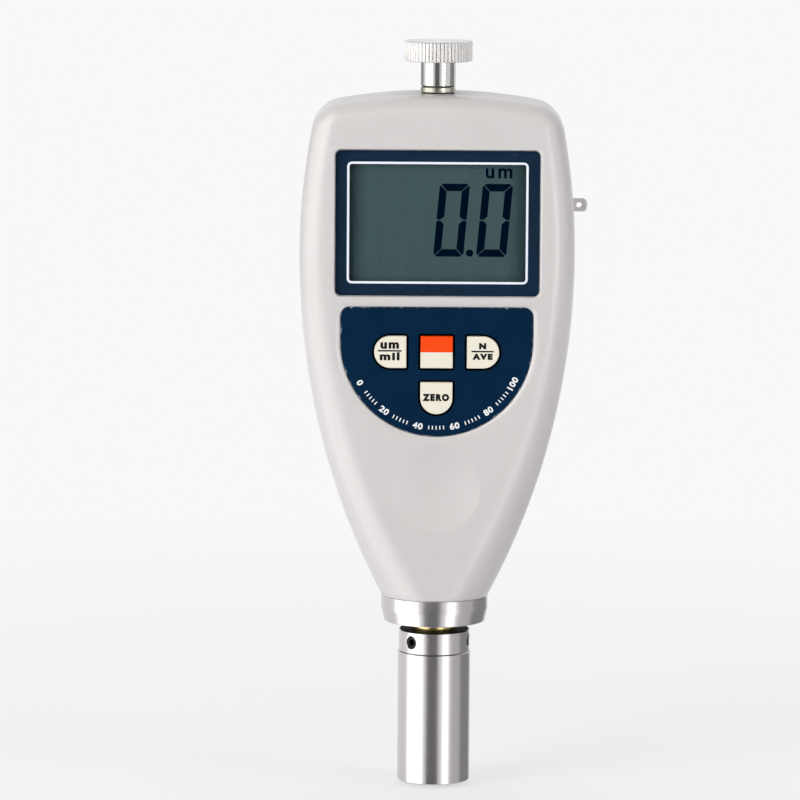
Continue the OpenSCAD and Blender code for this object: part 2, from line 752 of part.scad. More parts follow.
// The transducer's stack fills the room between the spigot and the board
stack_clear = 2.5;
stack_h = board_low_z - stack_clear - spigot_z;
stem_top_z = spigot_z + stack_h / 4;
rod_clear = 0.4;
stop_z = stem_low_z + 18;
stop_h = 2;
stop_r = 2.9;
chamber_r = stop_r + 0.3;
shoulder_z = stop_z - stylus_out - fit_gap;
stem_bush_l = 5;
spring_l = 18;
stem_bush_z = stop_z + stop_h + spring_l;
module probe_stem() {
    color("goldenrod") difference() {
        translate([0, 0, stem_low_z]) cylinder(d = stem_d, h = stem_top_z - stem_low_z);
        translate([0, 0, stem_low_z - over]) cylinder(r = stylus_d / 2 + rod_clear, h = stem_top_z);
        translate([0, 0, shoulder_z]) cylinder(r = chamber_r, h = stem_top_z);
    }
}
// The ring is turned a little smaller, so that the barrel alone runs in a guide
clamp_step = 0.2;
clamp_r = probe_d / 2 - clamp_step;
module clamp_ring() {
    color("silver") difference() {
        tube(clamp_r, stem_d / 2 + slip, barrel_l, barrel_l + clamp_l);
        set_screw_places() translate([0, 0, stem_d / 2]) cylinder(d = set_screw_d, h = probe_d);
    }
}
// Three radial places around the clamp ring, each turned so that +Z points outwards
set_screw_z = barrel_l + clamp_l * 0.52;
module set_screw_places() {
    for (i = [0:2]) translate([0, 0, set_screw_z]) rotate([90, 0, set_screw_turn + 120 * i]) children();
}
set_screw_sink = 0.5;
hex_d = 1.7;
hex_depth = 1.2;
module set_screws() {
    length = clamp_r - stem_d / 2 - slip - set_screw_sink;
    color("dimgray") set_screw_places() translate([0, 0, stem_d / 2 + slip]) difference() {
        cylinder(d = set_screw_d - 2 * slip, h = length);
        translate([0, 0, length - hex_depth]) cylinder(d = hex_d, h = hex_depth + over, $fn = 6);
    }
}

// Barrel turned from bar, with a flat foot
foot_chamfer = 0.3;
bush_seat_r = 3;
module probe_barrel() {
    r = probe_d / 2;
    bore = stem_d / 2 + slip;
    color("silver") rotate_extrude() polygon([
        [bush_seat_r + slip, 0], [r - foot_chamfer, 0], [r, foot_chamfer], [r, barrel_l],
        [bore, barrel_l], [bore, foot_t], [bush_seat_r + slip, foot_t]]);
}
foot_bush_sink = 0.4;
module foot_bush() { color("peru") tube(bush_seat_r, stylus_d / 2 + slip, foot_bush_sink, foot_t); }
module stem_bush() {
    color("peru") tube(chamber_r - slip, stylus_d / 2 + slip, stem_bush_z, stem_bush_z + stem_bush_l);
}

// Stylus: a rod with a conical tip, a stop and the transducer's core
tip_angle = 60;
tip_flat_r = 0.05;
tip_l = 2.6;
tip_sink = 0.03;
bobbin_z = stem_top_z;
cap_t = stack_h / 9;
bobbin_l = stack_h * 3 / 4 - cap_t;
core_r = 1.6;
core_l = bobbin_l * 0.52;
core_z = bobbin_z + bobbin_l / 2 - core_l / 2;
module stylus_rod() {
    color("lightsteelblue") translate([0, 0, tip_l]) cylinder(d = stylus_d, h = core_z - tip_l);
}
module stylus_tip() {
    r = stylus_d / 2;
    color("slategray") rotate_extrude()
        polygon([[0, tip_sink], [tip_flat_r, tip_sink], [r, tip_sink + (r - tip_flat_r) / tan(tip_angle / 2)],
            [r, tip_l], [0, tip_l]]);
}
module stylus_stop() { color("silver") tube(stop_r, stylus_d / 2 + slip / 2, stop_z, stop_z + stop_h); }
module transducer_core() { color("#303034") translate([0, 0, core_z]) cylinder(r = core_r, h = core_l); }

// Coil spring between the stop and the upper bush, a round wire swept along a helix
spring_r = 2.1;
spring_wire_r = 0.28;
spring_turns = 8;
spring_steps = 14;
spring_sides = 6;
module stylus_spring() {
    count = spring_turns * spring_steps;
    low = stop_z + stop_h + spring_wire_r + slip;
    high = stem_bush_z - spring_wire_r - slip;
    points = [for (i = [0:count], j = [0:spring_sides - 1])
        let(turn = 360 * i / spring_steps, side = 360 * j / spring_sides, r = spring_r + spring_wire_r * cos(side))
        [r * cos(turn), r * sin(turn), mix(low, high, i / count) + spring_wire_r * sin(side)]];
    skin = [for (i = [0:count - 1], j = [0:spring_sides - 1], half = [0, 1])
        let(k = (j + 1) % spring_sides, p = i * spring_sides, q = p + spring_sides)
        half == 0 ? [p + j, q + k, q + j] : [p + j, p + k, q + k]];
    ends = [[for (j = [spring_sides - 1:-1:0]) j], [for (j = [0:spring_sides - 1]) count * spring_sides + j]];
    color("gray") polyhedron(points, concat(skin, ends));
}

// Transducer above the stem: a spool with three windings in a screening sleeve
bobbin_r = stem_d / 2;
bobbin_core_r = 2.6;
bobbin_bore_r = 2;
bobbin_flange_t = bobbin_l / 15;
winding_r = bobbin_r - 0.4;
winding_count = 3;
winding_l = (bobbin_l - (winding_count + 1) * bobbin_flange_t) / winding_count;
sleeve_t = 1.4;
sleeve_z = spigot_z + 0.2;
cap_z = bobbin_z + bobbin_l;
function winding_z(i) = bobbin_z + bobbin_flange_t + i * (winding_l + bobbin_flange_t);
module coil_bobbin() {
    color("wheat") difference() {
        translate([0, 0, bobbin_z]) cylinder(r = bobbin_r, h = bobbin_l);
        for (i = [0:winding_count - 1]) tube(bobbin_r + over, bobbin_core_r, winding_z(i), winding_z(i) + winding_l);
        translate([0, 0, bobbin_z - over]) cylinder(r = bobbin_bore_r, h = bobbin_l + 2 * over);
    }
}
module coil_windings() {
    color("chocolate") for (i = [0:winding_count - 1])
        tube(winding_r, bobbin_core_r + slip, winding_z(i) + slip, winding_z(i) + winding_l - slip);
}
module transducer_sleeve() {
    color("lightgray") tube(bobbin_r + slip + sleeve_t, bobbin_r + slip, sleeve_z, cap_z + cap_t);
}
module transducer_cap() { color("#383838") tube(bobbin_r, lead_r + fit_gap, cap_z, cap_z + cap_t); }

module top_bush() {
    bore = shank_d / 2 + slip;
    color("silver") rotate_extrude() polygon([
        [bore, bush_low_z], [bush_r, bush_low_z], [bush_r, bush_flange_z - bush_flange_t],
        [bush_flange_r, bush_flange_z - bush_flange_t], [bush_flange_r, bush_flange_z], [bush_r, bush_flange_z],
        [bush_r, bush_top_z], [bore, bush_top_z]]);
}
washer_sink = 0.3;
module knob_washer() {
    color("#202020") tube(bush_r - washer_sink, shank_d / 2 + slip, bush_top_z, neck_z);
}

// Stand screw with a head grooved all round for the fingers
flute_r = 0.24;
head_chamfer = 0.35;
shank_in = 7.5;
module stand_knob() {
    r = head_d / 2;
    color("silver") {
        translate([0, 0, bush_top_z - shank_in]) cylinder(d = shank_d, h = shank_in + washer_t + neck_l / 2);
        translate([0, 0, neck_z]) cylinder(d = neck_d, h = neck_l + head_h / 2);
        difference() {
            rotate_extrude() polygon([
                [0, head_z], [r - head_chamfer, head_z], [r, head_z + head_chamfer],
                [r, head_z + head_h - head_chamfer], [r - head_chamfer, head_z + head_h], [0, head_z + head_h]]);
            for (i = [0:flute_count - 1]) rotate([0, 0, 360 * i / flute_count])
                translate([r, 0, head_z - over]) cylinder(r = flute_r, h = head_h + 2 * over, $fn = 16);
        }
    }
}

front_shell();
rear_shell();
battery_cover();
case_screws();
lanyard_eye();
display_window();
window_mask();
window_line();
lcd_glass();
lcd_digits();
lcd_frame();
zebra_strip();
keypad_panel();
unit_key();
power_key();
average_key();
zero_key();
unit_plunger();
power_plunger();
average_plunger();
zero_plunger();
key_switches();
circuit_board();
board_screws();
processor_chip();
lead_connector();
probe_lead();
battery_cells();
upper_contacts();
lower_contacts();
body_collar();
probe_stem();
clamp_ring();
set_screws();
probe_barrel();
foot_bush();
stem_bush();
stylus_rod();
stylus_tip();
stylus_stop();
stylus_spring();
transducer_core();
coil_bobbin();
coil_windings();
transducer_sleeve();
transducer_cap();
top_bush();
knob_washer();
stand_knob();
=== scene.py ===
"""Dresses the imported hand-held surface profile gauge and stands it in a plain studio.

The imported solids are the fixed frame. Each class below is one sub-assembly: its fields are the real
sizes in millimetres, and its methods build the visible pieces and hand them their finishes.
"""

import logging
import math
from collections.abc import Callable, Sequence
from dataclasses import dataclass, field
from enum import Enum

import bmesh
import bpy
import numpy as np
from mathutils import Matrix, Quaternion, Vector
from mathutils.geometry import delaunay_2d_cdt


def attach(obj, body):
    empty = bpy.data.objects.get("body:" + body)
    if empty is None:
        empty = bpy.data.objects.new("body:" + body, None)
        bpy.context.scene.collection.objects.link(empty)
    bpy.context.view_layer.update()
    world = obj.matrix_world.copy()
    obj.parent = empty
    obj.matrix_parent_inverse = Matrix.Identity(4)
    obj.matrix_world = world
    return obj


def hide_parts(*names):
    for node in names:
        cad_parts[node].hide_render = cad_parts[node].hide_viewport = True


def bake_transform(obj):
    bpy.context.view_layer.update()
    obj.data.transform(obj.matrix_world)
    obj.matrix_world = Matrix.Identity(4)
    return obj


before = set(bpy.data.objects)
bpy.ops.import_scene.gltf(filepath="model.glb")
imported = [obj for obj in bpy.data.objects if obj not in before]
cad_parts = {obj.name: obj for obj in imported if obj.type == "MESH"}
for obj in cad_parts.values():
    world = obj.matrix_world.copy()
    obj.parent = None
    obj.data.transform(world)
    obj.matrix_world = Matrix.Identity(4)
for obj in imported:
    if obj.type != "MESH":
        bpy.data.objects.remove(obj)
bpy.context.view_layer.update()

LOG = logging.getLogger("gauge")
MM = 0.001
Flat = tuple[float, float]
Socket = bpy.types.NodeSocket
UPRIGHT = Matrix.Rotation(math.pi / 2, 4, "X")


# Small helpers


def linear(hex_code: str) -> tuple[float, float, float, float]:
    """Turns an sRGB hex colour, as "#RRGGBB", into linear light with an alpha of 1."""
    shares = [int(hex_code[i : i + 2], 16) / 255 for i in (1, 3, 5)]
    red, green, blue = (c / 12.92 if c <= 0.04045 else ((c + 0.055) / 1.055) ** 2.4 for c in shares)
    return red, green, blue, 1.0


@dataclass(frozen=True)
class Nodes:
    """A node tree, with short calls for the nodes that recur."""

    tree: bpy.types.NodeTree

    def add(self, kind: str, inputs: dict | None = None, **settings: object) -> bpy.types.Node:
        """Adds a node with its settings, constants and links.

        Args:
            kind: Blender's name of the node type.
            inputs: Values or output sockets by input name or number.
            **settings: Properties of the node itself.

        Returns:
            The new node.
        """
        made = self.tree.nodes.new(kind)
        for name, value in settings.items():
            setattr(made, name, value)
        for key, value in (inputs or {}).items():
            if isinstance(value, Socket):
                self.tree.links.new(value, made.inputs[key])
            else:
                made.inputs[key].default_value = value
        return made

    def place(self) -> Socket:
        """Gives the place on the object."""
        return self.add("ShaderNodeTexCoord").outputs["Object"]

    def noise(self, place: Socket, size_mm: float, detail: float) -> Socket:
        """Gives a noise with spots of a size."""
        inputs = {"Vector": place, "Scale": 1 / (size_mm * MM), "Detail": detail}
        return self.add("ShaderNodeTexNoise", inputs).outputs["Fac"]

    def calc(self, operation: str, *values: Socket | float) -> Socket:
        """Gives the result of a sum."""
        return self.add("ShaderNodeMath", dict(enumerate(values)), operation=operation).outputs[0]

    def ranged(
        self, value: Socket, low: float, high: float, start: float = 0.0, end: float = 1.0, **settings: object
    ) -> Socket:
        """Carries a value between start and end to one between low and high."""
        inputs = {"Value": value, "From Min": start, "From Max": end, "To Min": low, "To Max": high}
        return self.add("ShaderNodeMapRange", inputs, **settings).outputs["Result"]

    def mix(self, share: Socket | float, first: object, second: object, blend_type: str = "MIX") -> Socket:
        """Mixes two colours."""
        inputs = {0: share, 6: first, 7: second}
        return self.add("ShaderNodeMix", inputs, data_type="RGBA", blend_type=blend_type).outputs[2]

    def tint(self, share: Socket, colour: str, low: float, high: float) -> Socket:
        """Gives a colour that goes from low to high times its brightness."""
        dim, lit = (tuple(c * k for c in linear(colour)[:3]) + (1.0,) for k in (low, high))
        return self.mix(share, dim, lit)

    def bump(self, height: Socket, strength: float, depth_mm: float) -> Socket:
        """Gives the normal of a fine relief."""
        inputs = {"Height": height, "Strength": strength, "Distance": depth_mm * MM}
        return self.add("ShaderNodeBump", inputs).outputs["Normal"]

    def principled(self, inputs: dict) -> Socket:
        """Gives a principled shader."""
        return self.add("ShaderNodeBsdfPrincipled", inputs).outputs["BSDF"]

    def glow(self, colour: Sequence[float], strength: float) -> Socket:
        """Gives a shader that shines."""
        return self.add("ShaderNodeEmission", {"Color": colour, "Strength": strength}).outputs["Emission"]

    def blend(self, share: Socket, first: Socket, second: Socket) -> Socket:
        """Mixes two shaders."""
        return self.add("ShaderNodeMixShader", {0: share, 1: first, 2: second}).outputs["Shader"]


def surface(name: str, shade: Callable[[Nodes], Socket]) -> bpy.types.Material:
    """Makes a material from a function that builds its shader."""
    made = bpy.data.materials.new(name)
    made.use_nodes = True
    made.node_tree.nodes.clear()
    nodes = Nodes(made.node_tree)
    nodes.add("ShaderNodeOutputMaterial", {"Surface": shade(nodes)})
    return made


def smooth(mesh: bpy.types.Mesh, angle: float = 35.0) -> bpy.types.Mesh:
    """Shades a mesh smooth and keeps the edges above an angle in degrees sharp."""
    mesh.shade_smooth()
    mesh.set_sharp_from_angle(angle=math.radians(angle))
    return mesh


def to_mesh(bm: bmesh.types.BMesh, unit: float = MM) -> bpy.types.Mesh:
    """Writes a finished bmesh, drawn in units of so many metres, to a new mesh."""
    bmesh.ops.scale(bm, vec=(unit, unit, unit), verts=bm.verts)
    mesh = bpy.data.meshes.new("mesh")
    bm.to_mesh(mesh)
    bm.free()
    return mesh


def evaluated(obj: bpy.types.Object) -> bpy.types.Mesh:
    """Turns an object with live modifiers, or a text, into a plain mesh and removes the object."""
    bpy.context.view_layer.update()
    graph = bpy.context.evaluated_depsgraph_get()
    mesh = bpy.data.meshes.new_from_object(obj.evaluated_get(graph))
    bpy.data.objects.remove(obj)
    return mesh


def link(name: str, data: bpy.types.ID) -> bpy.types.Object:
    """Makes an object from data, which takes its name, and puts it in the scene."""
    data.name = name
    obj = bpy.data.objects.new(name, data)
    bpy.context.scene.collection.objects.link(obj)
    return obj


# Finishes


@dataclass(frozen=True)
class Finish:
    """A named surface finish that builds its material once."""

    name: str

    def material(self) -> bpy.types.Material:
        """Gives the finish's material, and builds it on first use."""
        return bpy.data.materials.get(self.name) or surface(self.name, self.shade)

    def shade(self, nodes: Nodes) -> Socket:
        """Builds the shader nodes and gives the shader's output socket."""
        raise NotImplementedError


@dataclass(frozen=True)
class MouldedPlastic(Finish):
    """Injection-moulded plastic: an even colour, broken by a fine spark-eroded grain and faint flow marks."""

    colour: str
    roughness: float = 0.45
    grain_mm: float = 0.35
    grain_depth_mm: float = 0.006
    mottle: float = 0.03
    specular: float = 0.5
    flow_mm: float = 14.0
    sheen: float = 0.03

    def shade(self, nodes: Nodes) -> Socket:
        """Builds the grain, the flow marks and the shader."""
        place = nodes.place()
        grain = nodes.noise(place, self.grain_mm, 2.0)
        flow = nodes.noise(place, self.flow_mm, 3.0)
        low, high = self.roughness - self.sheen, self.roughness + self.sheen
        return nodes.principled(
            {
                "Base Color": nodes.tint(flow, self.colour, 1 - self.mottle, 1 + self.mottle),
                "Roughness": nodes.ranged(flow, low, high, 0.3, 0.7),
                "Normal": nodes.bump(grain, 0.6, self.grain_depth_mm),
                "IOR": 1.53,
                "Specular IOR Level": self.specular,
            }
        )


@dataclass(frozen=True)
class TurnedMetal(Finish):
    """Metal turned on a lathe: fine rings round the axis, which draw highlights out along it."""

    colour: str
    roughness: float = 0.24
    groove_mm: float = 0.16
    groove_depth_mm: float = 0.004
    anisotropy: float = 0.75
    streak: float = 0.05

    def shade(self, nodes: Nodes) -> Socket:
        """Builds the tool marks from the distance along and from the axis, and the shader."""
        place = nodes.place()
        height = nodes.add("ShaderNodeSeparateXYZ", {"Vector": place}).outputs["Z"]
        across = nodes.add("ShaderNodeVectorMath", {0: place, 1: (1.0, 1.0, 0.0)}, operation="MULTIPLY")
        radius = nodes.add("ShaderNodeVectorMath", {0: across.outputs["Vector"]}, operation="LENGTH")
        way = nodes.calc("ADD", height, radius.outputs["Value"])
        inputs = {"W": way, "Scale": 1 / (self.groove_mm * MM), "Detail": 3.0}
        marks = nodes.add("ShaderNodeTexNoise", inputs, noise_dimensions="1D").outputs["Fac"]
        around = nodes.add("ShaderNodeTangent", direction_type="RADIAL", axis="Z")
        return nodes.principled(
            {
                "Base Color": nodes.tint(marks, self.colour, 1 - self.streak, 1 + self.streak),
                "Metallic": 1.0,
                "Roughness": self.roughness,
                "Anisotropic": self.anisotropy,
                "Tangent": around.outputs["Tangent"],
                "Normal": nodes.bump(marks, 0.5, self.groove_depth_mm),
            }
        )


@dataclass(frozen=True)
class PlainMetal(Finish):
    """Drawn, plated or sintered metal: an even sheen with a faint cloud of handling marks."""

    colour: str
    roughness: float = 0.3
    cloud_mm: float = 0.8
    cloud_depth_mm: float = 0.01

    def shade(self, nodes: Nodes) -> Socket:
        """Builds the cloudy roughness and the shader."""
        cloud = nodes.noise(nodes.place(), self.cloud_mm, 3.0)
        return nodes.principled(
            {
                "Base Color": nodes.tint(cloud, self.colour, 0.88, 1.0),
                "Metallic": 1.0,
                "Roughness": nodes.ranged(cloud, self.roughness - 0.08, self.roughness + 0.12),
                "Normal": nodes.bump(cloud, 0.3, self.cloud_depth_mm),
            }
        )


@dataclass(frozen=True)
class PrintedFilm(Finish):
    """Screen-printed polyester film: a dense ink under a soft sheen, chipped pale along its cut edge."""

    colour: str
    roughness: float = 0.38
    specular: float = 0.2
    chip_colour: str = ""
    streak_mm: float = 0.0
    dim_mm: Flat | None = None
    patch_mm: float = 6.0
    chip_mm: float = 1.4
    dimmest: float = 0.58

    def shade(self, nodes: Nodes) -> Socket:
        """Builds the ink's variation, its painted shade towards the sides, the chips along the rim and the
        shader.
        """
        place = nodes.place()
        drawn_out = Vector((1, 1, 0.08 if self.streak_mm else 1))
        drawn = nodes.add("ShaderNodeMapping", {"Vector": place, "Scale": drawn_out}).outputs["Vector"]
        patch = nodes.noise(drawn, self.streak_mm or self.patch_mm, 4.0)
        colour = nodes.tint(patch, self.colour, 0.9, 1.1)
        # Painted shade: the colour darkens towards the sides, where the mask's shadow falls on the cell
        if self.dim_mm:
            x = nodes.add("ShaderNodeSeparateXYZ", {"Vector": place}).outputs["X"]
            start, end = (d * MM for d in self.dim_mm)
            side = nodes.calc("ABSOLUTE", x)
            dim = nodes.ranged(side, 1.0, self.dimmest, start, end, interpolation_type="SMOOTHSTEP")
            colour = nodes.mix(1.0, colour, dim, "MULTIPLY")
        if self.chip_colour:
            rim = nodes.add("ShaderNodeAttribute", attribute_name="rim").outputs["Fac"]
            near = nodes.calc("MULTIPLY", rim, nodes.noise(place, self.chip_mm, 5.0))
            colour = nodes.mix(nodes.ranged(near, 0.0, 1.0, 0.5, 0.58), colour, linear(self.chip_colour))
        return nodes.principled(
            {
                "Base Color": colour,
                "Roughness": nodes.ranged(patch, self.roughness - 0.06, self.roughness + 0.06),
                "IOR": 1.57,
                "Specular IOR Level": self.specular,
            }
        )


@dataclass(frozen=True)
class ClearPane(Finish):
    """Coated acrylic: clear face-on, with a sheen when seen along it, and a few specks of dust."""

    dust: str = "#C9CDD0"
    speck_mm: float = 5.0
    speck_cover: float = 0.35
    sheen_power: float = 3.0

    def shade(self, nodes: Nodes) -> Socket:
        """Builds the clear sheet, which lets lamp light straight through, and its sheen and specks."""
        white = (1, 1, 1, 1)
        cells = nodes.add("ShaderNodeTexVoronoi", {"Vector": nodes.place(), "Scale": 1 / (self.speck_mm * MM)})
        speck = nodes.ranged(cells.outputs["Distance"], 0.0, self.speck_cover, 0.028, 0.02)
        sheet = {"Base Color": white, "Roughness": 0.0, "IOR": 1.0, "Transmission Weight": 1.0}
        clear = nodes.principled(sheet)
        along = nodes.add("ShaderNodeLayerWeight", {"Blend": 0.5}).outputs["Facing"]
        gloss = nodes.add("ShaderNodeBsdfGlossy", {"Color": white, "Roughness": 0.03}).outputs["BSDF"]
        coated = nodes.blend(nodes.calc("POWER", along, self.sheen_power), clear, gloss)
        dust = nodes.add("ShaderNodeBsdfDiffuse", {"Color": linear(self.dust)}).outputs["BSDF"]
        path = nodes.add("ShaderNodeLightPath").outputs
        lit = nodes.calc("MAXIMUM", path["Is Shadow Ray"], path["Is Diffuse Ray"])
        through = nodes.add("ShaderNodeBsdfTransparent").outputs["BSDF"]
        return nodes.blend(lit, nodes.blend(speck, coated, dust), through)


@dataclass(frozen=True)
class WoundWire(Finish):
    """Enamelled copper wire wound in layers: fine turns round the axis, with painted shade between them."""

    colour: str
    wire_mm: float = 0.25

    def shade(self, nodes: Nodes) -> Socket:
        """Builds the turns of wire as a wave along the axis, and the shader."""
        inputs = {"Vector": nodes.place(), "Scale": math.pi / (10 * self.wire_mm * MM)}
        turns = nodes.add("ShaderNodeTexWave", inputs, bands_direction="Z").outputs["Fac"]
        relief = nodes.add("ShaderNodeBump", {"Height": turns, "Distance": self.wire_mm * MM / 2})
        # Painted shade: the colour falls to 0.4 times between the turns
        return nodes.principled(
            {
                "Base Color": nodes.tint(turns, self.colour, 0.4, 1.0),
                "Metallic": 0.8,
                "Roughness": 0.35,
                "Normal": relief.outputs["Normal"],
            }
        )


class Finishes(Enum):
    """Every finish on the gauge."""

    # Spark-eroded ABS: an even pale grey with a satin sheen that rolls over the edges
    CASE = MouldedPlastic("moulded_grey_abs", "#D3CFCD", 0.32, 0.35, 0.0008, 0.012, 0.8)
    # Moulded ABS keys: warm ivory, a little duller than the case
    KEY = MouldedPlastic("moulded_cream_abs", "#EEE8D6", 0.38, 0.5, 0.003, 0.02, 0.25)
    KEY_ORANGE = MouldedPlastic("moulded_orange_abs", "#FA4A0A", 0.38, 0.5, 0.003, 0.03, 0.12)
    # Glass-filled nylon: nearly black, with a coarser dry grain
    BLACK = MouldedPlastic("moulded_black_nylon", "#17181A", 0.5, 0.3, 0.01, 0.08)
    WHITE = MouldedPlastic("moulded_white_nylon", "#E9E7E0", 0.45, 0.4, 0.006, 0.03)
    # Conductive silicone rubber: dull grey
    RUBBER = MouldedPlastic("pressed_grey_silicone", "#55575A", 0.75, 0.3, 0.01, 0.08)
    LEAD = MouldedPlastic("extruded_grey_vinyl", "#6C7175", 0.5, 0.5, 0.006, 0.05)
    # Solder resist over woven glass: deep green with a soft gloss
    BOARD = MouldedPlastic("resist_coated_board", "#1D5A34", 0.32, 0.6, 0.01, 0.12)
    # Screen print under and on clear film: flat dense inks
    PANEL = PrintedFilm("printed_navy_film", "#03233E", 0.45, 0.03, "#B4BEC8")
    MASK = PrintedFilm("printed_navy_mask", "#1A2C40", 0.5, 0.0)
    LINE = PrintedFilm("printed_white_line", "#F0F5FF", 0.5, 0.0)
    MARK = PrintedFilm("printed_white_marks", "#F1F3F2", 0.5)
    LEGEND = PrintedFilm("printed_black_legend", "#15171A", 0.5, 0.1)
    BORDER = PrintedFilm("printed_black_border", "#020304", 0.6, 0.0)
    # Liquid-crystal cell on a grey reflector: dull grey-green, rubbed upright, with painted shade darkening it
    # towards its sides
    DISPLAY = PrintedFilm("liquid_crystal_cell", "#425557", 0.5, 0.0, "", 1.2, (15.0, 19.6))
    DIGIT = PrintedFilm("liquid_crystal_segments", "#020E20", 0.5, 0.0)
    PANE = ClearPane("coated_acrylic_pane")
    # Stainless bar turned with a fine feed: crisp upright streaks of light and dark
    STEEL = TurnedMetal("turned_stainless_steel", "#CFCBCB", 0.175, 0.12, 0.004, 0.75)
    KNOB = TurnedMetal("turned_nickel_plated_steel", "#CFCCCA", 0.16, 0.14, 0.004, 0.5)
    # Lit and shaded copies of the knob's nickel plating: lands lightened near white as a painted highlight; the
    # core between them and the head's underside darkened as painted shade
    LAND = TurnedMetal("painted_highlight_nickel_plated_steel", "#F6F4F2", 0.6, 0.3, 0.002, 0.0, 0.02)
    FLUTE = TurnedMetal("painted_shade_nickel_plated_steel", "#5E5A57", 0.5, 0.3, 0.004, 0.0)
    # Thin plating over brass: the same streaks with a faint yellow in them
    BUSH = TurnedMetal("nickel_plated_brass", "#C8C5B8", 0.22, 0.14, 0.004, 0.5)
    # Painted shade: the collar's underside, the ring's top and the bush's neck, left rough by the lathe and
    # coloured near black for the shade in the gaps between parts
    SEAT = TurnedMetal("painted_shade_steel", "#1D1917", 0.55, 0.2, 0.006, 0.2)
    BRASS = TurnedMetal("turned_brass", "#CDB878", 0.14, 0.14, 0.004, 0.6)
    BRONZE = TurnedMetal("sintered_bronze", "#A9783F", 0.42, 0.2, 0.006, 0.3)
    PLATED = PlainMetal("zinc_plated_steel", "#C3C5C6", 0.3)
    DARK_STEEL = PlainMetal("blackened_steel", "#2B2B2E", 0.3)
    CORE = PlainMetal("annealed_core_iron", "#5A5B5F", 0.45)
    CARBIDE = PlainMetal("ground_carbide", "#6C7076", 0.25, 0.3)
    COPPER = WoundWire("wound_copper_wire", "#C4713A")
    LABEL = PrintedFilm("printed_cell_sleeve", "#2F5D8C", 0.3)

    @property
    def material(self) -> bpy.types.Material:
        """The finish's material."""
        return self.value.material()


# Shapes that several sub-assemblies share

SMALLEST_R = 0.03  # Corner radius that an inset outline keeps
GRID_CLEAR = 0.35  # Distance that the grid keeps from the rings of a cut
GRID_START = 0.6  # Distance of a plate's first row of points from its edge
EDGE_CLEAR = 0.3  # Distance that a plate's grid keeps from its edge and from its split
SPLIT_STEP = 0.5  # Distance between points along a plate's split
RIM_FADE = 0.7  # Width over which the mark of a plate's rim fades


@dataclass(frozen=True)
class Corner:
    """One rounded corner of an outline: its centre and radius, and its sweep in degrees."""

    x: float
    z: float
    r: float
    start: float
    end: float


@dataclass(frozen=True)
class Outline:
    """A flat closed outline of arcs joined by straight lines, run anticlockwise as seen from its face."""

    corners: tuple[Corner, ...]

    @classmethod
    def plate(cls, x: float, z: float, w: float, h: float, r: float) -> "Outline":
        """Gives a rectangle with rounded corners."""
        a, b = w / 2 - r, h / 2 - r
        signs = ((1, 1, 0), (-1, 1, 90), (-1, -1, 180), (1, -1, 270))
        return cls(tuple(Corner(x + i * a, z + j * b, r, t, t + 90) for i, j, t in signs))

    @classmethod
    def disc(cls, x: float, z: float, r: float) -> "Outline":
        """Gives a circle."""
        return cls((Corner(x, z, r, 0, 360),))

    @classmethod
    def shield(cls, z: float, w: float, straight: float, r: float) -> "Outline":
        """Gives the keypad's shape: a half disc under a straight band with two rounded corners."""
        a, b = w / 2 - r, z + straight - r
        return cls((Corner(a, b, r, 0, 90), Corner(-a, b, r, 90, 180), Corner(0, z, w / 2, 180, 360)))

    @classmethod
    def key(cls, x: float, z: float, w: float, r: float, round_side: float | None) -> "Outline":
        """Gives a key's shape: a square, with a half disc on one side if round_side gives its direction."""
        if round_side is None:
            return cls.plate(x, z, w, w, r)
        turn = math.radians(round_side)
        arc = Corner(x, z, w / 2, round_side - 90, round_side + 90)
        back = []
        for across, start in ((1, 90), (-1, 180)):
            u, v = -(w / 2 - r), across * (w / 2 - r)
            cx = x + u * math.cos(turn) - v * math.sin(turn)
            cz = z + u * math.sin(turn) + v * math.cos(turn)
            back.append(Corner(cx, cz, r, round_side + start, round_side + start + 90))
        return cls((arc, *back))

    def ring(self, grow: float = 0.0, step: float = 0.9) -> list[Flat]:
        """Walks round the outline.

        Args:
            grow: How far outside the outline to walk.
            step: Longest distance between two points.

        Returns:
            The points in order, without the first again at the end.
        """
        points: list[Flat] = []
        for c in self.corners:
            spare = min(0.0, c.r + grow - SMALLEST_R)
            r = max(c.r + grow, SMALLEST_R)
            t0, t1 = math.radians(c.start), math.radians(c.end)
            x = c.x + spare * (math.cos(t0) + math.cos(t1))
            z = c.z + spare * (math.sin(t0) + math.sin(t1))
            count = max(3, math.ceil((c.end - c.start) / 10), math.ceil((t1 - t0) * r / step))
            turns = (t0 + (t1 - t0) * i / count for i in range(count + 1))
            points.extend((x + r * math.cos(t), z + r * math.sin(t)) for t in turns)
        walked: list[Flat] = []
        for p, q in zip(points, points[1:] + points[:1]):
            run = math.dist(p, q)
            if run < 1e-4:
                continue
            parts = math.ceil(run / step)
            for k in range(parts):
                walked.append((p[0] + (q[0] - p[0]) * k / parts, p[1] + (q[1] - p[1]) * k / parts))
        return walked


def gap_to(ring: Sequence[Flat], points: np.ndarray) -> np.ndarray:
    """Measures how far points lie outside a closed ring.

    Args:
        ring: Points of the ring in order.
        points: Places to measure, one in each row.

    Returns:
        The distance of each place, negative inside.
    """
    a = np.array(ring)
    run = np.roll(a, -1, 0) - a
    away = points[:, None, :] - a[None]
    share = np.clip((away * run).sum(-1) / (run * run).sum(-1), 0, 1)
    reach = np.linalg.norm(away - share[..., None] * run, axis=-1).min(1)
    rise = np.where(np.abs(run[:, 1]) < 1e-12, 1e-12, run[:, 1])
    spans = (a[:, 1] > points[:, 1, None]) != (a[:, 1] + run[:, 1] > points[:, 1, None])
    left = points[:, 0, None] < run[:, 0] * (points[:, 1, None] - a[:, 1]) / rise + a[:, 0]
    inside = (spans & left).sum(1) % 2 == 1
    return np.where(inside, -reach, reach)


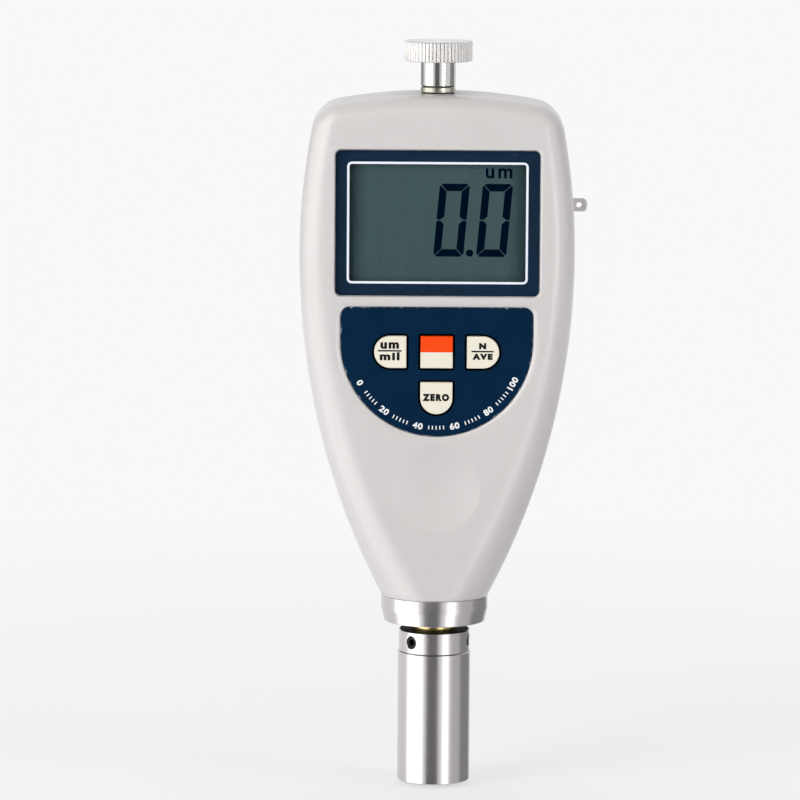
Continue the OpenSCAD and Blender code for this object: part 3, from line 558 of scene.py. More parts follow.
@dataclass(frozen=True)
class Cut:
    """A recess or hole in a sheet: rings offset from its outline, each with its depth, from outside in."""

    outline: Outline
    steps: tuple[Flat, ...]
    is_open: bool = True


@dataclass
class Patch:
    """A triangulated sheet: places in its plane, depths below it, faces and where its border's points went."""

    places: list[Flat]
    depths: list[float]
    faces: list[tuple[int, int, int]]
    border: list[int]


def triangulate(
    border: Sequence[Flat],
    grid: Sequence[Flat],
    cuts: Sequence[Cut],
    unroll: Callable[[Flat], Flat] = lambda p: p,
    border_depth: float = 0.0,
) -> Patch:
    """Triangulates a sheet with cuts, so that every edge of a cut is followed by edges of the mesh.

    Args:
        border: Outer border in order.
        grid: Points inside the border.
        cuts: Recesses and holes.
        unroll: Carries a point of a cut's ring to the sheet's plane.
        border_depth: Depth of the border.

    Returns:
        The sheet.
    """
    points, depths = list(border), [border_depth] * len(border)
    edges = [(i, (i + 1) % len(border)) for i in range(len(border))]
    spots = np.array(grid).reshape(-1, 2)
    keep = np.ones(len(spots), bool)
    holes: list[list[Flat]] = []
    for cut in cuts:
        rings = [[unroll(p) for p in cut.outline.ring(grow)] for grow, _ in cut.steps]
        for ring, (_, depth) in zip(rings, cut.steps):
            first = len(points)
            points.extend(ring)
            depths.extend([depth] * len(ring))
            edges.extend((first + i, first + (i + 1) % len(ring)) for i in range(len(ring)))
        if len(spots):
            clear = gap_to(rings[0], spots) > GRID_CLEAR
            keep &= clear if cut.is_open else clear | (gap_to(rings[-1], spots) < -GRID_CLEAR)
        if cut.is_open:
            holes.append(rings[-1])
    points.extend(map(tuple, spots[keep]))
    depths.extend([0.0] * int(keep.sum()))
    found, _, faces, origin, _, _ = delaunay_2d_cdt([Vector(p) for p in points], edges, [], 0, 1e-7)
    places = [(p[0], p[1]) for p in found]
    went = {source: i for i, sources in enumerate(origin) for source in sources}
    centres = np.array([[sum(places[i][k] for i in f) / 3 for k in (0, 1)] for f in faces])
    shown = gap_to(border, centres) < 0
    for hole in holes:
        shown &= gap_to(hole, centres) > 0
    return Patch(
        places,
        [depths[sources[0]] if sources else 0.0 for sources in origin],
        [tuple(f) for f, s in zip(faces, shown) if s],
        [went[i] for i in range(len(border))],
    )


def revolve(
    profile: Sequence[Flat], steps: int = 144, closed: bool = True, second: Sequence[int] = ()
) -> bpy.types.Mesh:
    """Turns a profile round the Z axis.

    Args:
        profile: Radius and height of each point in mm.
        steps: Number of segments round the axis.
        closed: Whether the last point joins the first.
        second: Numbers of the profile's lines that take the piece's second finish.

    Returns:
        The turned mesh.
    """
    bm = bmesh.new()
    rings = []
    for r, z in profile:
        count = steps if r > 1e-6 else 1
        turns = (2 * math.pi * i / steps for i in range(count))
        rings.append([bm.verts.new((r * math.cos(t), r * math.sin(t), z)) for t in turns])
    for k, (low, high) in enumerate(zip(rings, rings[1:] + (rings[:1] if closed else []))):
        for i in range(steps):
            j = (i + 1) % steps
            corners = [low[i % len(low)], low[j % len(low)], high[j % len(high)], high[i % len(high)]]
            unique = list(dict.fromkeys(corners))
            if len(unique) > 2:
                bm.faces.new(unique).material_index = int(k in second)
    bmesh.ops.recalc_face_normals(bm, faces=bm.faces)
    return smooth(to_mesh(bm), 12)


@dataclass(frozen=True)
class Plate:
    """A flat plate that faces the front or the back, with a rounded rim and cuts through or into its face."""

    outline: Outline
    face_y: float
    thick: float
    rim_r: float = 0.2
    faces_back: bool = False
    cuts: tuple[Cut, ...] = ()
    step: float = 1.2
    split_z: float | None = None
    back_closed: bool = True

    def mesh(self) -> bpy.types.Mesh:
        """Builds the plate, with an attribute "rim" that falls from 1 at its edge to 0."""
        r, inward = self.rim_r, -1 if self.faces_back else 1
        turns = [math.radians(t) for t in (25, 50, 70, 90)]
        steps = tuple((-r * math.sin(t), r * (1 - math.sin(math.acos(1 - math.sin(t))))) for t in turns)
        rim = Cut(self.outline, steps, False)
        ring = self.outline.ring()
        xs, zs = zip(*ring)
        grid = [
            (x, z)
            for x in np.arange(min(xs) + GRID_START, max(xs), self.step)
            for z in np.arange(min(zs) + GRID_START, max(zs), self.step)
        ]
        if self.split_z is not None:
            grid = [p for p in grid if abs(p[1] - self.split_z) > EDGE_CLEAR]
            along = np.arange(min(xs) + GRID_START, max(xs) - SPLIT_STEP, SPLIT_STEP)
            grid += [(x, self.split_z) for x in along]
        spots = np.array(grid)
        grid = [tuple(p) for p in spots[gap_to(ring, spots) < -EDGE_CLEAR]]
        patch = triangulate(ring, grid, (rim, *self.cuts), border_depth=r)
        bm = bmesh.new()
        mark = bm.verts.layers.float.new("rim")
        near = np.clip(1 + gap_to(ring, np.array(patch.places)) / RIM_FADE, 0, 1)
        verts = []
        for (x, z), depth in zip(patch.places, patch.depths):
            verts.append(bm.verts.new((x, self.face_y + inward * depth, z)))
        for vert, share in zip(verts, near):
            vert[mark] = float(share)
        for f in patch.faces:
            made = bm.faces.new([verts[i] for i in (reversed(f) if self.faces_back else f)])
            middle = sum(patch.places[i][1] for i in f) / 3
            made.material_index = int(self.split_z is not None and middle > self.split_z)
        back_y = self.face_y + inward * self.thick
        low = [bm.verts.new((x, back_y, z)) for x, z in ring]
        for i, j in zip(range(len(ring)), list(range(1, len(ring))) + [0]):
            quad = [verts[patch.border[j]], verts[patch.border[i]], low[i], low[j]]
            side = bm.faces.new(reversed(quad) if self.faces_back else quad)
            middle = (ring[i][1] + ring[j][1]) / 2
            side.material_index = int(self.split_z is not None and middle > self.split_z)
        if self.back_closed:
            bm.faces.new(low if self.faces_back else list(reversed(low)))
        return smooth(to_mesh(bm))


def softened(node: str, width: float, segments: int = 2) -> bpy.types.Mesh:
    """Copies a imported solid's mesh, joins its triangles and rounds its edges.

    Args:
        node: Name of the solid.
        width: Width of the rounding in mm.
        segments: Number of steps in the rounding.

    Returns:
        The rounded copy.
    """
    bm = bmesh.new()
    bm.from_mesh(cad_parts[node].data)
    bmesh.ops.remove_doubles(bm, verts=bm.verts, dist=1e-6)
    bmesh.ops.dissolve_limit(bm, angle_limit=math.radians(1), verts=bm.verts, edges=bm.edges)
    mesh = to_mesh(bm, 1.0)
    mesh.materials.clear()
    obj = link(node + "_soft", mesh)
    bevel = obj.modifiers.new("rounding", "BEVEL")
    bevel.width, bevel.segments, bevel.limit_method = width * MM, segments, "ANGLE"
    bevel.angle_limit = math.radians(40)
    return smooth(evaluated(obj))


def lettering(
    text: str, size: float, bold: float = 0.0, spacing: float = 1.0, stretch: float = 1.0
) -> bpy.types.Mesh:
    """Sets a short text flat in the XY plane, with the middle of its ink on the origin.

    Args:
        text: Text to set.
        size: Type size in mm.
        bold: How far the strokes grow, as a share of the size.
        spacing: Distance between the letters, where 1 is normal.
        stretch: How far the letters are widened, where 1 is normal.

    Returns:
        The text as a mesh in metres.
    """
    data = bpy.data.curves.new("text", "FONT")
    data.body, data.size, data.offset, data.space_character = text, size * MM, bold * size * MM, spacing
    data.resolution_u = 4
    mesh = evaluated(link("text", data))
    inked = np.array([v.co for v in mesh.vertices])
    middle = (inked.min(0) + inked.max(0)) / 2
    mesh.transform(Matrix.Diagonal((stretch, 1, 1, 1)) @ Matrix.Translation(-Vector(middle)))
    return mesh


def strip(w: float, h: float, parts_w: int, parts_h: int) -> bpy.types.Mesh:
    """Makes a flat upright strip that faces the front, cut in parts along its width and height."""
    bm = bmesh.new()
    bmesh.ops.create_grid(bm, x_segments=parts_w, y_segments=parts_h, size=0.5)
    bmesh.ops.scale(bm, vec=(w, h, 1), verts=bm.verts)
    bmesh.ops.rotate(bm, cent=(0, 0, 0), matrix=UPRIGHT.to_3x3(), verts=bm.verts)
    return to_mesh(bm)


def hollowed(blank: bpy.types.Mesh, bits: bpy.types.Mesh, is_crossed: bool = False) -> bpy.types.Mesh:
    """Cuts one mesh out of another, where is_crossed tells that parts of a mesh run through each other."""
    body, tool = link("blank", blank), link("bits", bits)
    cut = body.modifiers.new("recess", "BOOLEAN")
    cut.object, cut.operation, cut.solver, cut.use_self = tool, "DIFFERENCE", "EXACT", is_crossed
    mesh = smooth(evaluated(body), 30)
    bpy.data.objects.remove(tool)
    return mesh


def copies_tree() -> bpy.types.NodeTree:
    """Gives the node tree that sets copies of one piece on points, each turned by its attribute "turn"."""
    found = bpy.data.node_groups.get("copies_on_points")
    if found is not None:
        return found
    tree = bpy.data.node_groups.new("copies_on_points", "GeometryNodeTree")
    for name, kind in (("Points", "Geometry"), ("Copy", "Object"), ("Finish", "Material")):
        tree.interface.new_socket(name, in_out="INPUT", socket_type="NodeSocket" + kind)
    tree.interface.new_socket("Geometry", in_out="OUTPUT", socket_type="NodeSocketGeometry")
    nodes = Nodes(tree)
    given = nodes.add("NodeGroupInput").outputs
    copy = nodes.add("GeometryNodeObjectInfo", {"Object": given["Copy"]}).outputs["Geometry"]
    turn = nodes.add("GeometryNodeInputNamedAttribute", {"Name": "turn"}, data_type="FLOAT_VECTOR")
    inputs = {"Points": given["Points"], "Instance": copy, "Rotation": turn.outputs["Attribute"]}
    spread = nodes.add("GeometryNodeInstanceOnPoints", inputs).outputs["Instances"]
    real = nodes.add("GeometryNodeRealizeInstances", {"Geometry": spread}).outputs["Geometry"]
    dressed = nodes.add("GeometryNodeSetMaterial", {"Geometry": real, "Material": given["Finish"]})
    nodes.add("NodeGroupOutput", {"Geometry": dressed.outputs["Geometry"]})
    return tree


def copies(
    piece: bpy.types.Mesh, places: Sequence[Sequence[float]], turns: Sequence[Sequence[float]], finish: Finishes
) -> bpy.types.Mesh:
    """Repeats a small mesh with Geometry Nodes.

    Args:
        piece: Mesh to repeat, in metres, about the origin.
        places: Where each copy goes, in mm.
        turns: Euler angles of each copy in radians.
        finish: Finish of every copy.

    Returns:
        One mesh that holds all the copies.
    """
    points = bpy.data.meshes.new("places")
    points.from_pydata([tuple(c * MM for c in p) for p in places], [], [])
    layer = points.attributes.new("turn", "FLOAT_VECTOR", "POINT")
    layer.data.foreach_set("vector", [c for t in turns for c in t])
    source, holder = link("copy_source", piece), link("copies", points)
    tree = copies_tree()
    named = {item.name: item.identifier for item in tree.interface.items_tree if item.in_out == "INPUT"}
    modifier = holder.modifiers.new("copies", "NODES")
    modifier.node_group = tree
    modifier[named["Copy"]] = source
    modifier[named["Finish"]] = finish.material
    mesh = evaluated(holder)
    bpy.data.objects.remove(source)
    return mesh


def joined(*meshes: bpy.types.Mesh) -> bpy.types.Mesh:
    """Joins meshes, with their materials and sharp edges, into one."""
    bm, materials = bmesh.new(), []
    for mesh in meshes:
        for material in mesh.materials:
            if material not in materials:
                materials.append(material)
        part = mesh.copy()
        slots = np.zeros(len(part.polygons), np.int32)
        part.polygons.foreach_get("material_index", slots)
        lookup = [materials.index(m) for m in mesh.materials] or [0]
        part.polygons.foreach_set("material_index", [lookup[min(s, len(lookup) - 1)] for s in slots])
        bm.from_mesh(part)
        bpy.data.meshes.remove(part)
    made = to_mesh(bm, 1.0)
    for material in materials:
        made.materials.append(material)
    return made


@dataclass
class SubAssembly:
    """Shared ways in which a sub-assembly puts its pieces in the scene and dresses imported solids."""

    def dress(self, finish: Finishes, *nodes: str) -> None:
        """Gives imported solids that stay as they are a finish."""
        for node in nodes:
            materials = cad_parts[node].data.materials
            materials.clear()
            materials.append(finish.material)
            LOG.info("%s: %s", node, finish.value.name)

    def piece(
        self,
        name: str,
        mesh: bpy.types.Mesh,
        body: str,
        finish: Finishes | Sequence[Finishes] | None,
        slot: str,
        *nodes: str,
    ) -> bpy.types.Object:
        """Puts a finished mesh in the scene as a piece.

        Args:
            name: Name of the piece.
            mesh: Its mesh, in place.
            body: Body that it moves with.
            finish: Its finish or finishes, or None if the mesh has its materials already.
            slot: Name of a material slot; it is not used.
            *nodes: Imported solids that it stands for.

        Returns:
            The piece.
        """
        if finish is not None:
            while mesh.materials:
                mesh.materials.pop()
            for one in finish if isinstance(finish, Sequence) else (finish,):
                mesh.materials.append(one.material)
        obj = link(name, mesh)
        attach(obj, body)
        if nodes:
            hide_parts(*nodes)
        LOG.info("%s: %d faces on %s", name, len(mesh.polygons), body)
        return obj


# The case


class Side(Enum):
    """Half of the case, with the sign of its Y direction."""

    FRONT = -1
    REAR = 1


@dataclass(frozen=True)
class CaseForm:
    """Outer form of the case: two flank arcs, a swelling depth, rounded uprights and a crowned top."""

    base_z: float = 42.8
    height: float = 113.6
    half_w: float = 30.75
    half_d: float = 14.0
    widest_h: float = 78.2
    swell_h: float = 43.0
    tighten_h: float = 90.0
    collar_r: float = 12.05
    shoulder_w: float = 54.5
    crown_r: float = 125.0
    side_r: float = 5.5
    edge_r: float = 4.5
    foot_edge: float = 0.2
    parting: float = 0.12
    least_r: float = 0.8
    least_flat: float = 0.4
    skin_gap: float = 0.13
    settle_steps: int = 6

    @staticmethod
    def drop(r: float, run: float) -> float:
        """Gives how far an arc of radius r falls over a run."""
        return r - math.sqrt(max(r * r - run * run, 0.0))

    @staticmethod
    def arc(run: float, fall: float) -> float:
        """Gives the radius of the arc that falls so far over a run."""
        return (run * run + fall * fall) / (2 * fall)

    def share(self, h: float) -> float:
        """Gives how much of the crown's curve a section at height h has."""
        t = max(0.0, min(1.0, (h - self.widest_h) / (self.height - self.widest_h)))
        return t * t * (3 - 2 * t)

    def half_width(self, h: float) -> float:
        """Gives half the width at height h."""
        sag = self.drop(self.crown_r, self.shoulder_w / 2)
        h -= sag * self.share(h)
        if h < self.widest_h:
            lower = self.arc(self.widest_h, self.half_w - self.collar_r)
            return self.half_w - self.drop(lower, self.widest_h - h)
        upper = self.arc(self.height - sag - self.widest_h, self.half_w - self.shoulder_w / 2)
        return self.half_w - self.drop(upper, h - self.widest_h)

    def half_depth(self, h: float) -> float:
        """Gives half the depth at height h."""
        run = max(0.0, self.swell_h - h)
        return self.half_d - self.drop(self.arc(self.swell_h, self.half_d - self.collar_r), run)

    def upright_r(self, h: float) -> float:
        """Gives the radius of the upright edges at height h."""
        widened = self.side_r + (self.collar_r - self.side_r) * max(0.0, 1 - h / self.tighten_h) ** 2
        return min(widened, min(self.half_width(h), self.half_depth(h)) - self.least_flat)

    def sizes(self, h: float, inset: float = 0.0) -> tuple[float, float, float]:
        """Gives a section's half width, half depth and corner radius, drawn in by inset."""
        r = max(self.upright_r(h) - inset, self.least_r)
        return self.half_width(h) - inset, self.half_depth(h) - inset, r

    def reach(self, h: float, inset: float = 0.0) -> float:
        """Gives the way along a section from the middle of its face to the parting line."""
        a, b, r = self.sizes(h, inset)
        return a + b + r * (math.pi / 2 - 2) - self.parting

    def wrap(self, s: float, h: float, inset: float = 0.0) -> Flat:
        """Carries a way s along the section at height h to X and to the distance from the middle plane."""
        a, b, r = self.sizes(h, inset)
        flat, way = a - r, abs(s)
        if way <= flat:
            return s, b
        if way <= flat + r * math.pi / 2:
            t = (way - flat) / r
            return math.copysign(flat + r * math.sin(t), s), b - r + r * math.cos(t)
        return math.copysign(a, s), b - r - (way - flat - r * math.pi / 2)

    def level(self, x: float, h: float) -> float:
        """Gives the Z of a point at X on the section at height h, which follows the crown."""
        return self.base_z + h - self.drop(self.crown_r, x) * self.share(h)

    def height_at(self, x: float, z: float) -> float:
        """Gives the height of the section through X and Z."""
        h = z - self.base_z
        for _ in range(self.settle_steps):
            h = z - self.base_z + self.drop(self.crown_r, x) * self.share(h)
        return h

    def unroll(self, place: Flat) -> Flat:
        """Carries X and Z of a point on a face to its way along the section and Z."""
        x, z = place
        a, _, r = self.sizes(self.height_at(x, z))
        over = min(1.0, max(0.0, (abs(x) - (a - r)) / r))
        return (x if over == 0 else math.copysign(a - r + r * math.asin(over), x)), z

    def point(self, place: Flat) -> Vector:
        """Carries a way along the section and a Z to a point on the front, with Y as a distance."""
        s, z = place
        h = z - self.base_z
        for _ in range(self.settle_steps):
            x, y = self.wrap(s, h)
            h = z - self.base_z + self.drop(self.crown_r, x) * self.share(h)
        return Vector((x, y, z))

    def is_skin(self, p: Vector) -> bool:
        """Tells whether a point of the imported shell, in mm, lies on its outer skin."""
        h, top = self.height_at(p.x, p.z), self.height - self.edge_r
        a, b, r = self.sizes(min(h, top))
        q = Vector((abs(p.x) - a + r, abs(p.y) - b + r))
        gap = Vector((max(q.x, 0), max(q.y, 0))).length + min(max(q.x, q.y), 0) - r
        if h > top:
            gap = math.hypot(max(gap + self.edge_r, 0), h - top) - self.edge_r
        return abs(gap) < self.skin_gap


@dataclass
class HalfCase(SubAssembly):
    """One moulded half of the case, with its recesses, its parting edge and its top rounding."""

    form: CaseForm
    side: Side
    cuts: tuple[Cut, ...]
    relief: Callable[[float, float], float] = lambda x, z: 0.0
    columns: int = 84
    rows: int = 80
    edge_steps: int = 7
    cap_shares: tuple[float, ...] = (0.8, 0.6, 0.4, 0.2)
    crown_h: float = 8.0
    middle_z: float = 100.0
    parting_gap: float = 0.02
    rim_insets: Flat = (0.12, 2.0)
    foot_insets: Flat = (0.2, 2.2)

    def sheet(self) -> Patch:
        """Triangulates the face and sides of the half, up to the top rounding."""
        form = self.form
        top = form.height - form.edge_r
        rows = []
        for j in range(self.rows + 1):
            h = form.foot_edge + (top - form.foot_edge) * j / self.rows
            ways = [form.reach(h) * (2 * i / self.columns - 1) for i in range(self.columns + 1)]
            rows.append([(s, form.level(form.wrap(s, h)[0], h)) for s in ways])
        border = rows[0] + [r[-1] for r in rows[1:-1]] + rows[-1][::-1] + [r[0] for r in rows[-2:0:-1]]
        grid = [p for r in rows[1:-1] for p in r[1:-1]]
        return triangulate(border, grid, self.cuts, form.unroll)

    def skin(self) -> bpy.types.Mesh:
        """Builds the outer skin of the half, with its parting edge and foot turned in."""
        form, sign = self.form, self.side.value
        patch, bm = self.sheet(), bmesh.new()
        verts = []
        for place, depth in zip(patch.places, patch.depths):
            p = form.point(place)
            depth += self.relief(p.x, p.z)
            verts.append(bm.verts.new((p.x, sign * (p.y - depth), p.z)))
        flip = self.side is Side.REAR
        for f in patch.faces:
            bm.faces.new([verts[i] for i in (reversed(f) if flip else f)])
        start = self.columns + 1 + self.rows - 1
        ring = [verts[i] for i in patch.border[start : start + self.columns + 1]][::-1]
        top = form.height - form.edge_r
        levels = []
        for k in range(1, self.edge_steps + 1):
            t = math.pi / 2 * k / self.edge_steps
            levels.append((top + form.edge_r * math.sin(t), form.edge_r * (1 - math.cos(t)), 1.0))
        levels += [(form.height, form.edge_r, share) for share in self.cap_shares]
        for h, inset, share in levels:
            above = []
            for i in range(self.columns + 1):
                x, y = form.wrap(form.reach(h, inset) * (2 * i / self.columns - 1), h, inset)
                y = form.parting + (y - form.parting) * share
                above.append(bm.verts.new((x * share, sign * y, form.level(x * share, h))))
            for i in range(self.columns):
                quad = [ring[i], ring[i + 1], above[i + 1], above[i]]
                bm.faces.new(reversed(quad) if flip else quad)
            ring = above
        peak = bm.verts.new((0, sign * form.parting, form.base_z + form.height))
        for i in range(self.columns):
            fan = [ring[i], ring[i + 1], peak]
            bm.faces.new(reversed(fan) if flip else fan)
        self.turn_in(bm)
        return smooth(to_mesh(bm))

    def turn_in(self, bm: bmesh.types.BMesh) -> None:
        """Turns the parting edge and the foot of a skin inwards, with a fine chamfer."""
        form, sign = self.form, self.side.value
        foot_z, crown_z = form.base_z + form.foot_edge, form.base_z + form.height - self.crown_h
        open_edges = [e for e in bm.edges if e.is_boundary]
        rim = [e for e in open_edges if all(abs(v.co.y) < form.parting + 0.05 for v in e.verts)]
        foot = [e for e in open_edges if all(abs(v.co.z - foot_z) < 1e-3 for v in e.verts)]
        for edges, insets in ((rim, self.rim_insets), (foot, self.foot_insets)):
            is_foot = edges is foot
            for inset in insets:
                grown = bmesh.ops.extrude_edge_only(bm, edges=edges)["geom"]
                fresh = [g for g in grown if isinstance(g, bmesh.types.BMVert)]
                edges = [g for g in grown if isinstance(g, bmesh.types.BMEdge) and g.is_boundary]
                edges = [e for e in edges if all(v in fresh for v in e.verts)]
                for v in fresh:
                    if is_foot:
                        flat = Vector((v.co.x, v.co.y))
                        flat *= (flat.length - inset) / flat.length
                        v.co = (flat.x, flat.y, form.base_z)
                    else:
                        rise = v.co.z - self.middle_z if v.co.z > crown_z else 0
                        v.co -= Vector((v.co.x, 0, rise)).normalized() * inset
                        v.co.y = sign * self.parting_gap


@dataclass
class Case(SubAssembly):
    """Front and rear halves, battery cover, closing screws and lanyard eye."""

    form: CaseForm = field(default_factory=CaseForm)
    window: Outline = field(default_factory=lambda: Outline.plate(0, 128.3, 45.8, 32.8, 1.5))
    panel: Outline = field(default_factory=lambda: Outline.shield(102.0, 43.1, 7.65, 2.15))
    opening: Outline = field(default_factory=lambda: Outline.plate(0, 114.75, 46.3, 52.8, 3.1))
    cover: Outline = field(default_factory=lambda: Outline.plate(0, 114.75, 46.0, 52.5, 3.0))
    dish_z: float = 68.6
    dish_r: float = 10.1
    dish_depth: float = 1.4
    posts: tuple[Flat, ...] = ((22.626, 148.3), (-22.626, 148.3), (12.525, 59.2), (-12.525, 59.2))
    counterbore_r: float = 2.55
    seat_y: float = 4.0
    head_r: float = 2.4
    head_h: float = 1.6
    grip_count: int = 6
    grip_pitch: float = 1.6
    grip_w: float = 16.0
    grip_z: float = 94.5
    groove_w: float = 1.0
    groove_r: float = 0.48
    lid_t: float = 2.0
    lid_edge: float = 0.3
    shank_r: float = 1.2
    shank_l: float = 12.0
    recess: tuple[float, float, float] = (1.9, 0.55, 1.7)
    screw_turns: tuple[float, ...] = (12, 57, 31, 78)
    dish_rings: tuple[float, ...] = (0.6, 0.3, 0.1, -0.1, -0.3, -0.6, -1.1, -1.8, -2.6)
    # Rings of each cut: offset from its outline and depth
    window_lip: tuple[Flat, ...] = (
        (0.6, 0), (0.42, 0.015), (0.27, 0.05), (0.14, 0.12), (0.05, 0.21), (0, 0.33), (-0.02, 1.6), (-1.3, 1.6)
    )
    panel_lip: tuple[Flat, ...] = (
        (1.5, 0), (1.2, 0.02), (0.9, 0.07), (0.6, 0.15), (0.35, 0.25),
        (0.15, 0.36), (0.03, 0.47), (0.0, 0.55), (-0.02, 1.1), (-1.3, 1.1),
    )
    opening_lip: tuple[Flat, ...] = ((0.4, 0), (0.25, 0.03), (0.12, 0.09), (0.03, 0.2), (0, 0.35), (-0.02, 2.1))
    bore_lip: tuple[Flat, ...] = ((0.3, 0), (0.18, 0.03), (0.07, 0.1), (0, 0.3), (-0.02, 8.5))
    grip_lip: tuple[Flat, ...] = ((0.02, 0), (-0.1, 0.12), (-0.22, 0.27), (-0.36, 0.38), (-0.44, 0.42))

    def hollow(self, x: float, z: float) -> float:
        """Gives the depth of the thumb dish at a place on the front."""
        share = 1 - (x * x + (z - self.dish_z) ** 2) / self.dish_r**2
        return self.dish_depth * share**1.12 if share > 0 else 0.0

    def front(self) -> None:
        """Builds the front half with its window, keypad recess and thumb dish."""
        window = Cut(self.window, self.window_lip)
        panel = Cut(self.panel, self.panel_lip)
        rings = tuple((grow, 0.0) for grow in self.dish_rings)
        dish = Cut(Outline.disc(0, self.dish_z, self.dish_r), rings, False)
        half = HalfCase(self.form, Side.FRONT, (window, panel, dish), self.hollow)
        self.piece("case_front_half", half.skin(), "case", Finishes.CASE, "case_plastic", "front_shell")

    def rear(self) -> None:
        """Builds the rear half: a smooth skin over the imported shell's own inner walls."""
        opening = Cut(self.opening, self.opening_lip)
        bores = tuple(Cut(Outline.disc(x, z, self.counterbore_r), self.bore_lip) for x, z in self.posts)
        skin = HalfCase(self.form, Side.REAR, (opening, *bores)).skin()
        bm = bmesh.new()
        bm.from_mesh(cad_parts["rear_shell"].data)
        bmesh.ops.remove_doubles(bm, verts=bm.verts, dist=1e-6)
        outer = [f for f in bm.faces if self.form.is_skin(f.calc_center_median() / MM)]
        bmesh.ops.delete(bm, geom=outer, context="FACES")
        mesh = joined(skin, smooth(to_mesh(bm, 1.0), 30))
        self.piece("case_rear_half", mesh, "case", Finishes.CASE, "case_plastic", "rear_shell")

    def lid(self) -> None:
        """Builds the battery cover with its finger grip."""
        heights = [self.grip_z + i * self.grip_pitch for i in range(self.grip_count)]
        shapes = [Outline.plate(0, z, self.grip_w, self.groove_w, self.groove_r) for z in heights]
        grooves = tuple(Cut(shape, self.grip_lip, False) for shape in shapes)
        lid = Plate(self.cover, self.form.half_d, self.lid_t, self.lid_edge, True, grooves)
        self.piece("battery_lid", lid.mesh(), "cover", Finishes.CASE, "case_plastic", "battery_cover")

    def screws(self) -> None:
        """Builds the four closing screws as copies of one pan-head screw with a cross recess."""
        r, h, length = self.head_r, self.head_h, self.shank_l
        shank = revolve([(0, 0), (self.shank_r, 0), (self.shank_r, length), (0, length)], 24)
        pan = revolve([(0, 0), (r, 0), (r, h * 0.45), (r * 0.92, h * 0.75), (r * 0.7, h), (0, h)], 48)
        shank.transform(Matrix.Translation((0, 0, -length * MM)))
        bits = bmesh.new()
        span, slit, deep = self.recess
        for w, d in ((span, slit), (slit, span)):
            place = Matrix.Translation((0, 0, h)) @ Matrix.Diagonal((w, d, deep, 1))
            bmesh.ops.create_cube(bits, size=1, matrix=place)
        screw = hollowed(joined(pan, shank), to_mesh(bits), True)
        screw.transform(Matrix.Rotation(-math.pi / 2, 4, "X"))
        places = [(x, self.seat_y, z) for x, z in self.posts]
        turns = [(0, math.radians(t), 0) for t in self.screw_turns]
        mesh = copies(screw, places, turns, Finishes.PLATED)
        self.piece("closing_screws", mesh, "case", None, "plated_steel", "case_screws")

    def eye(self) -> None:
        """Builds the lanyard eye with rounded edges."""
        loop = softened("lanyard_eye", 0.22, 3)
        self.piece("lanyard_loop", loop, "case", Finishes.CASE, "case_plastic", "lanyard_eye")

    def build(self) -> None:
        """Builds every piece of the case."""
        self.front()
        self.rear()
        self.lid()
        self.screws()
        self.eye()


# Display and keypad


@dataclass
class Display(SubAssembly):
    """Clear pane, printed mask and liquid-crystal display."""

    pane: Outline = field(default_factory=lambda: Outline.plate(0, 128.3, 45.5, 32.5, 1.35))
    pane_y: float = -13.6
    pane_t: float = 1.1
    pane_edge: float = 0.18
    unit_x: float = 13.6
    unit_z: float = 139.35
    unit_style: tuple[float, float, float] = (4.5, 0.02, 1.25)
    ink_y: float = -11.34
    digit_x: float = -0.95
    digit_low_z: float = 120.7
    digit_h: float = 16.3
    digit_w: float = 6.7
    digit_pitch: float = 9.57
    digit_lean: float = 5.0
    segment_t: float = 1.66
    segment_gap: float = 0.13
    corner: float = 0.55
    point_r: float = 0.8

    def reading(self) -> bpy.types.Mesh:
        """Draws the reading 0.0: lit segments with cut corners, and a round point."""
        w, h, t, g, c = self.digit_w, self.digit_h / 2, self.segment_t, self.segment_gap, self.corner
        bar = [(c + g, h), (w - c - g, h), (w - c / 2 - g, h - c / 2)]
        bar += [(w - t - g, h - t), (t + g, h - t), (c / 2 + g, h - c / 2)]
        side = [(0, h - c - g), (c / 2, h - c / 2 - g), (t, h - t - g), (t, t / 2)]
        side += [(t / 2, g), (0.2, g), (0, g + 0.2)]
        lean, middle_z = math.tan(math.radians(self.digit_lean)), self.digit_low_z + h
        shapes = []
        for start in (self.digit_x, self.digit_x + self.digit_pitch):
            for up in (1, -1):
                for line in (bar, side, [(w - x, z) for x, z in side]):
                    shapes.append([(start + x + (z * up + h) * lean, middle_z + z * up) for x, z in line])
        middle = self.digit_x + self.digit_w + (self.digit_pitch - self.digit_w) / 2
        shapes.append(Outline.disc(middle, self.digit_low_z + self.point_r, self.point_r).ring(0, 0.2))
        bm = bmesh.new()
        for shape in shapes:
            face = bm.faces.new([bm.verts.new((x, self.ink_y, z)) for x, z in shape])
            face.normal_update()
            if face.normal.y > 0:
                face.normal_flip()
        return to_mesh(bm)

    def build(self) -> None:
        """Builds the pane, the reading and the unit sign, and dresses the display."""
        pane = Plate(self.pane, self.pane_y, self.pane_t - 0.01, self.pane_edge, step=3.0)
        self.piece("display_pane", pane.mesh(), "case", Finishes.PANE, "clear_pane", "display_window")
        self.dress(Finishes.MASK, "window_mask")
        self.dress(Finishes.LINE, "window_line")
        self.dress(Finishes.DISPLAY, "lcd_glass")
        self.piece("reading", self.reading(), "case", Finishes.DIGIT, "display_ink", "lcd_digits")
        self.dress(Finishes.WHITE, "lcd_frame")
        self.dress(Finishes.RUBBER, "zebra_strip")
        sign = lettering("um", *self.unit_style)
        sign.transform(Matrix.Translation(Vector((self.unit_x, self.ink_y, self.unit_z)) * MM) @ UPRIGHT)
        self.piece("unit_sign", sign, "case", Finishes.DIGIT, "display_ink")


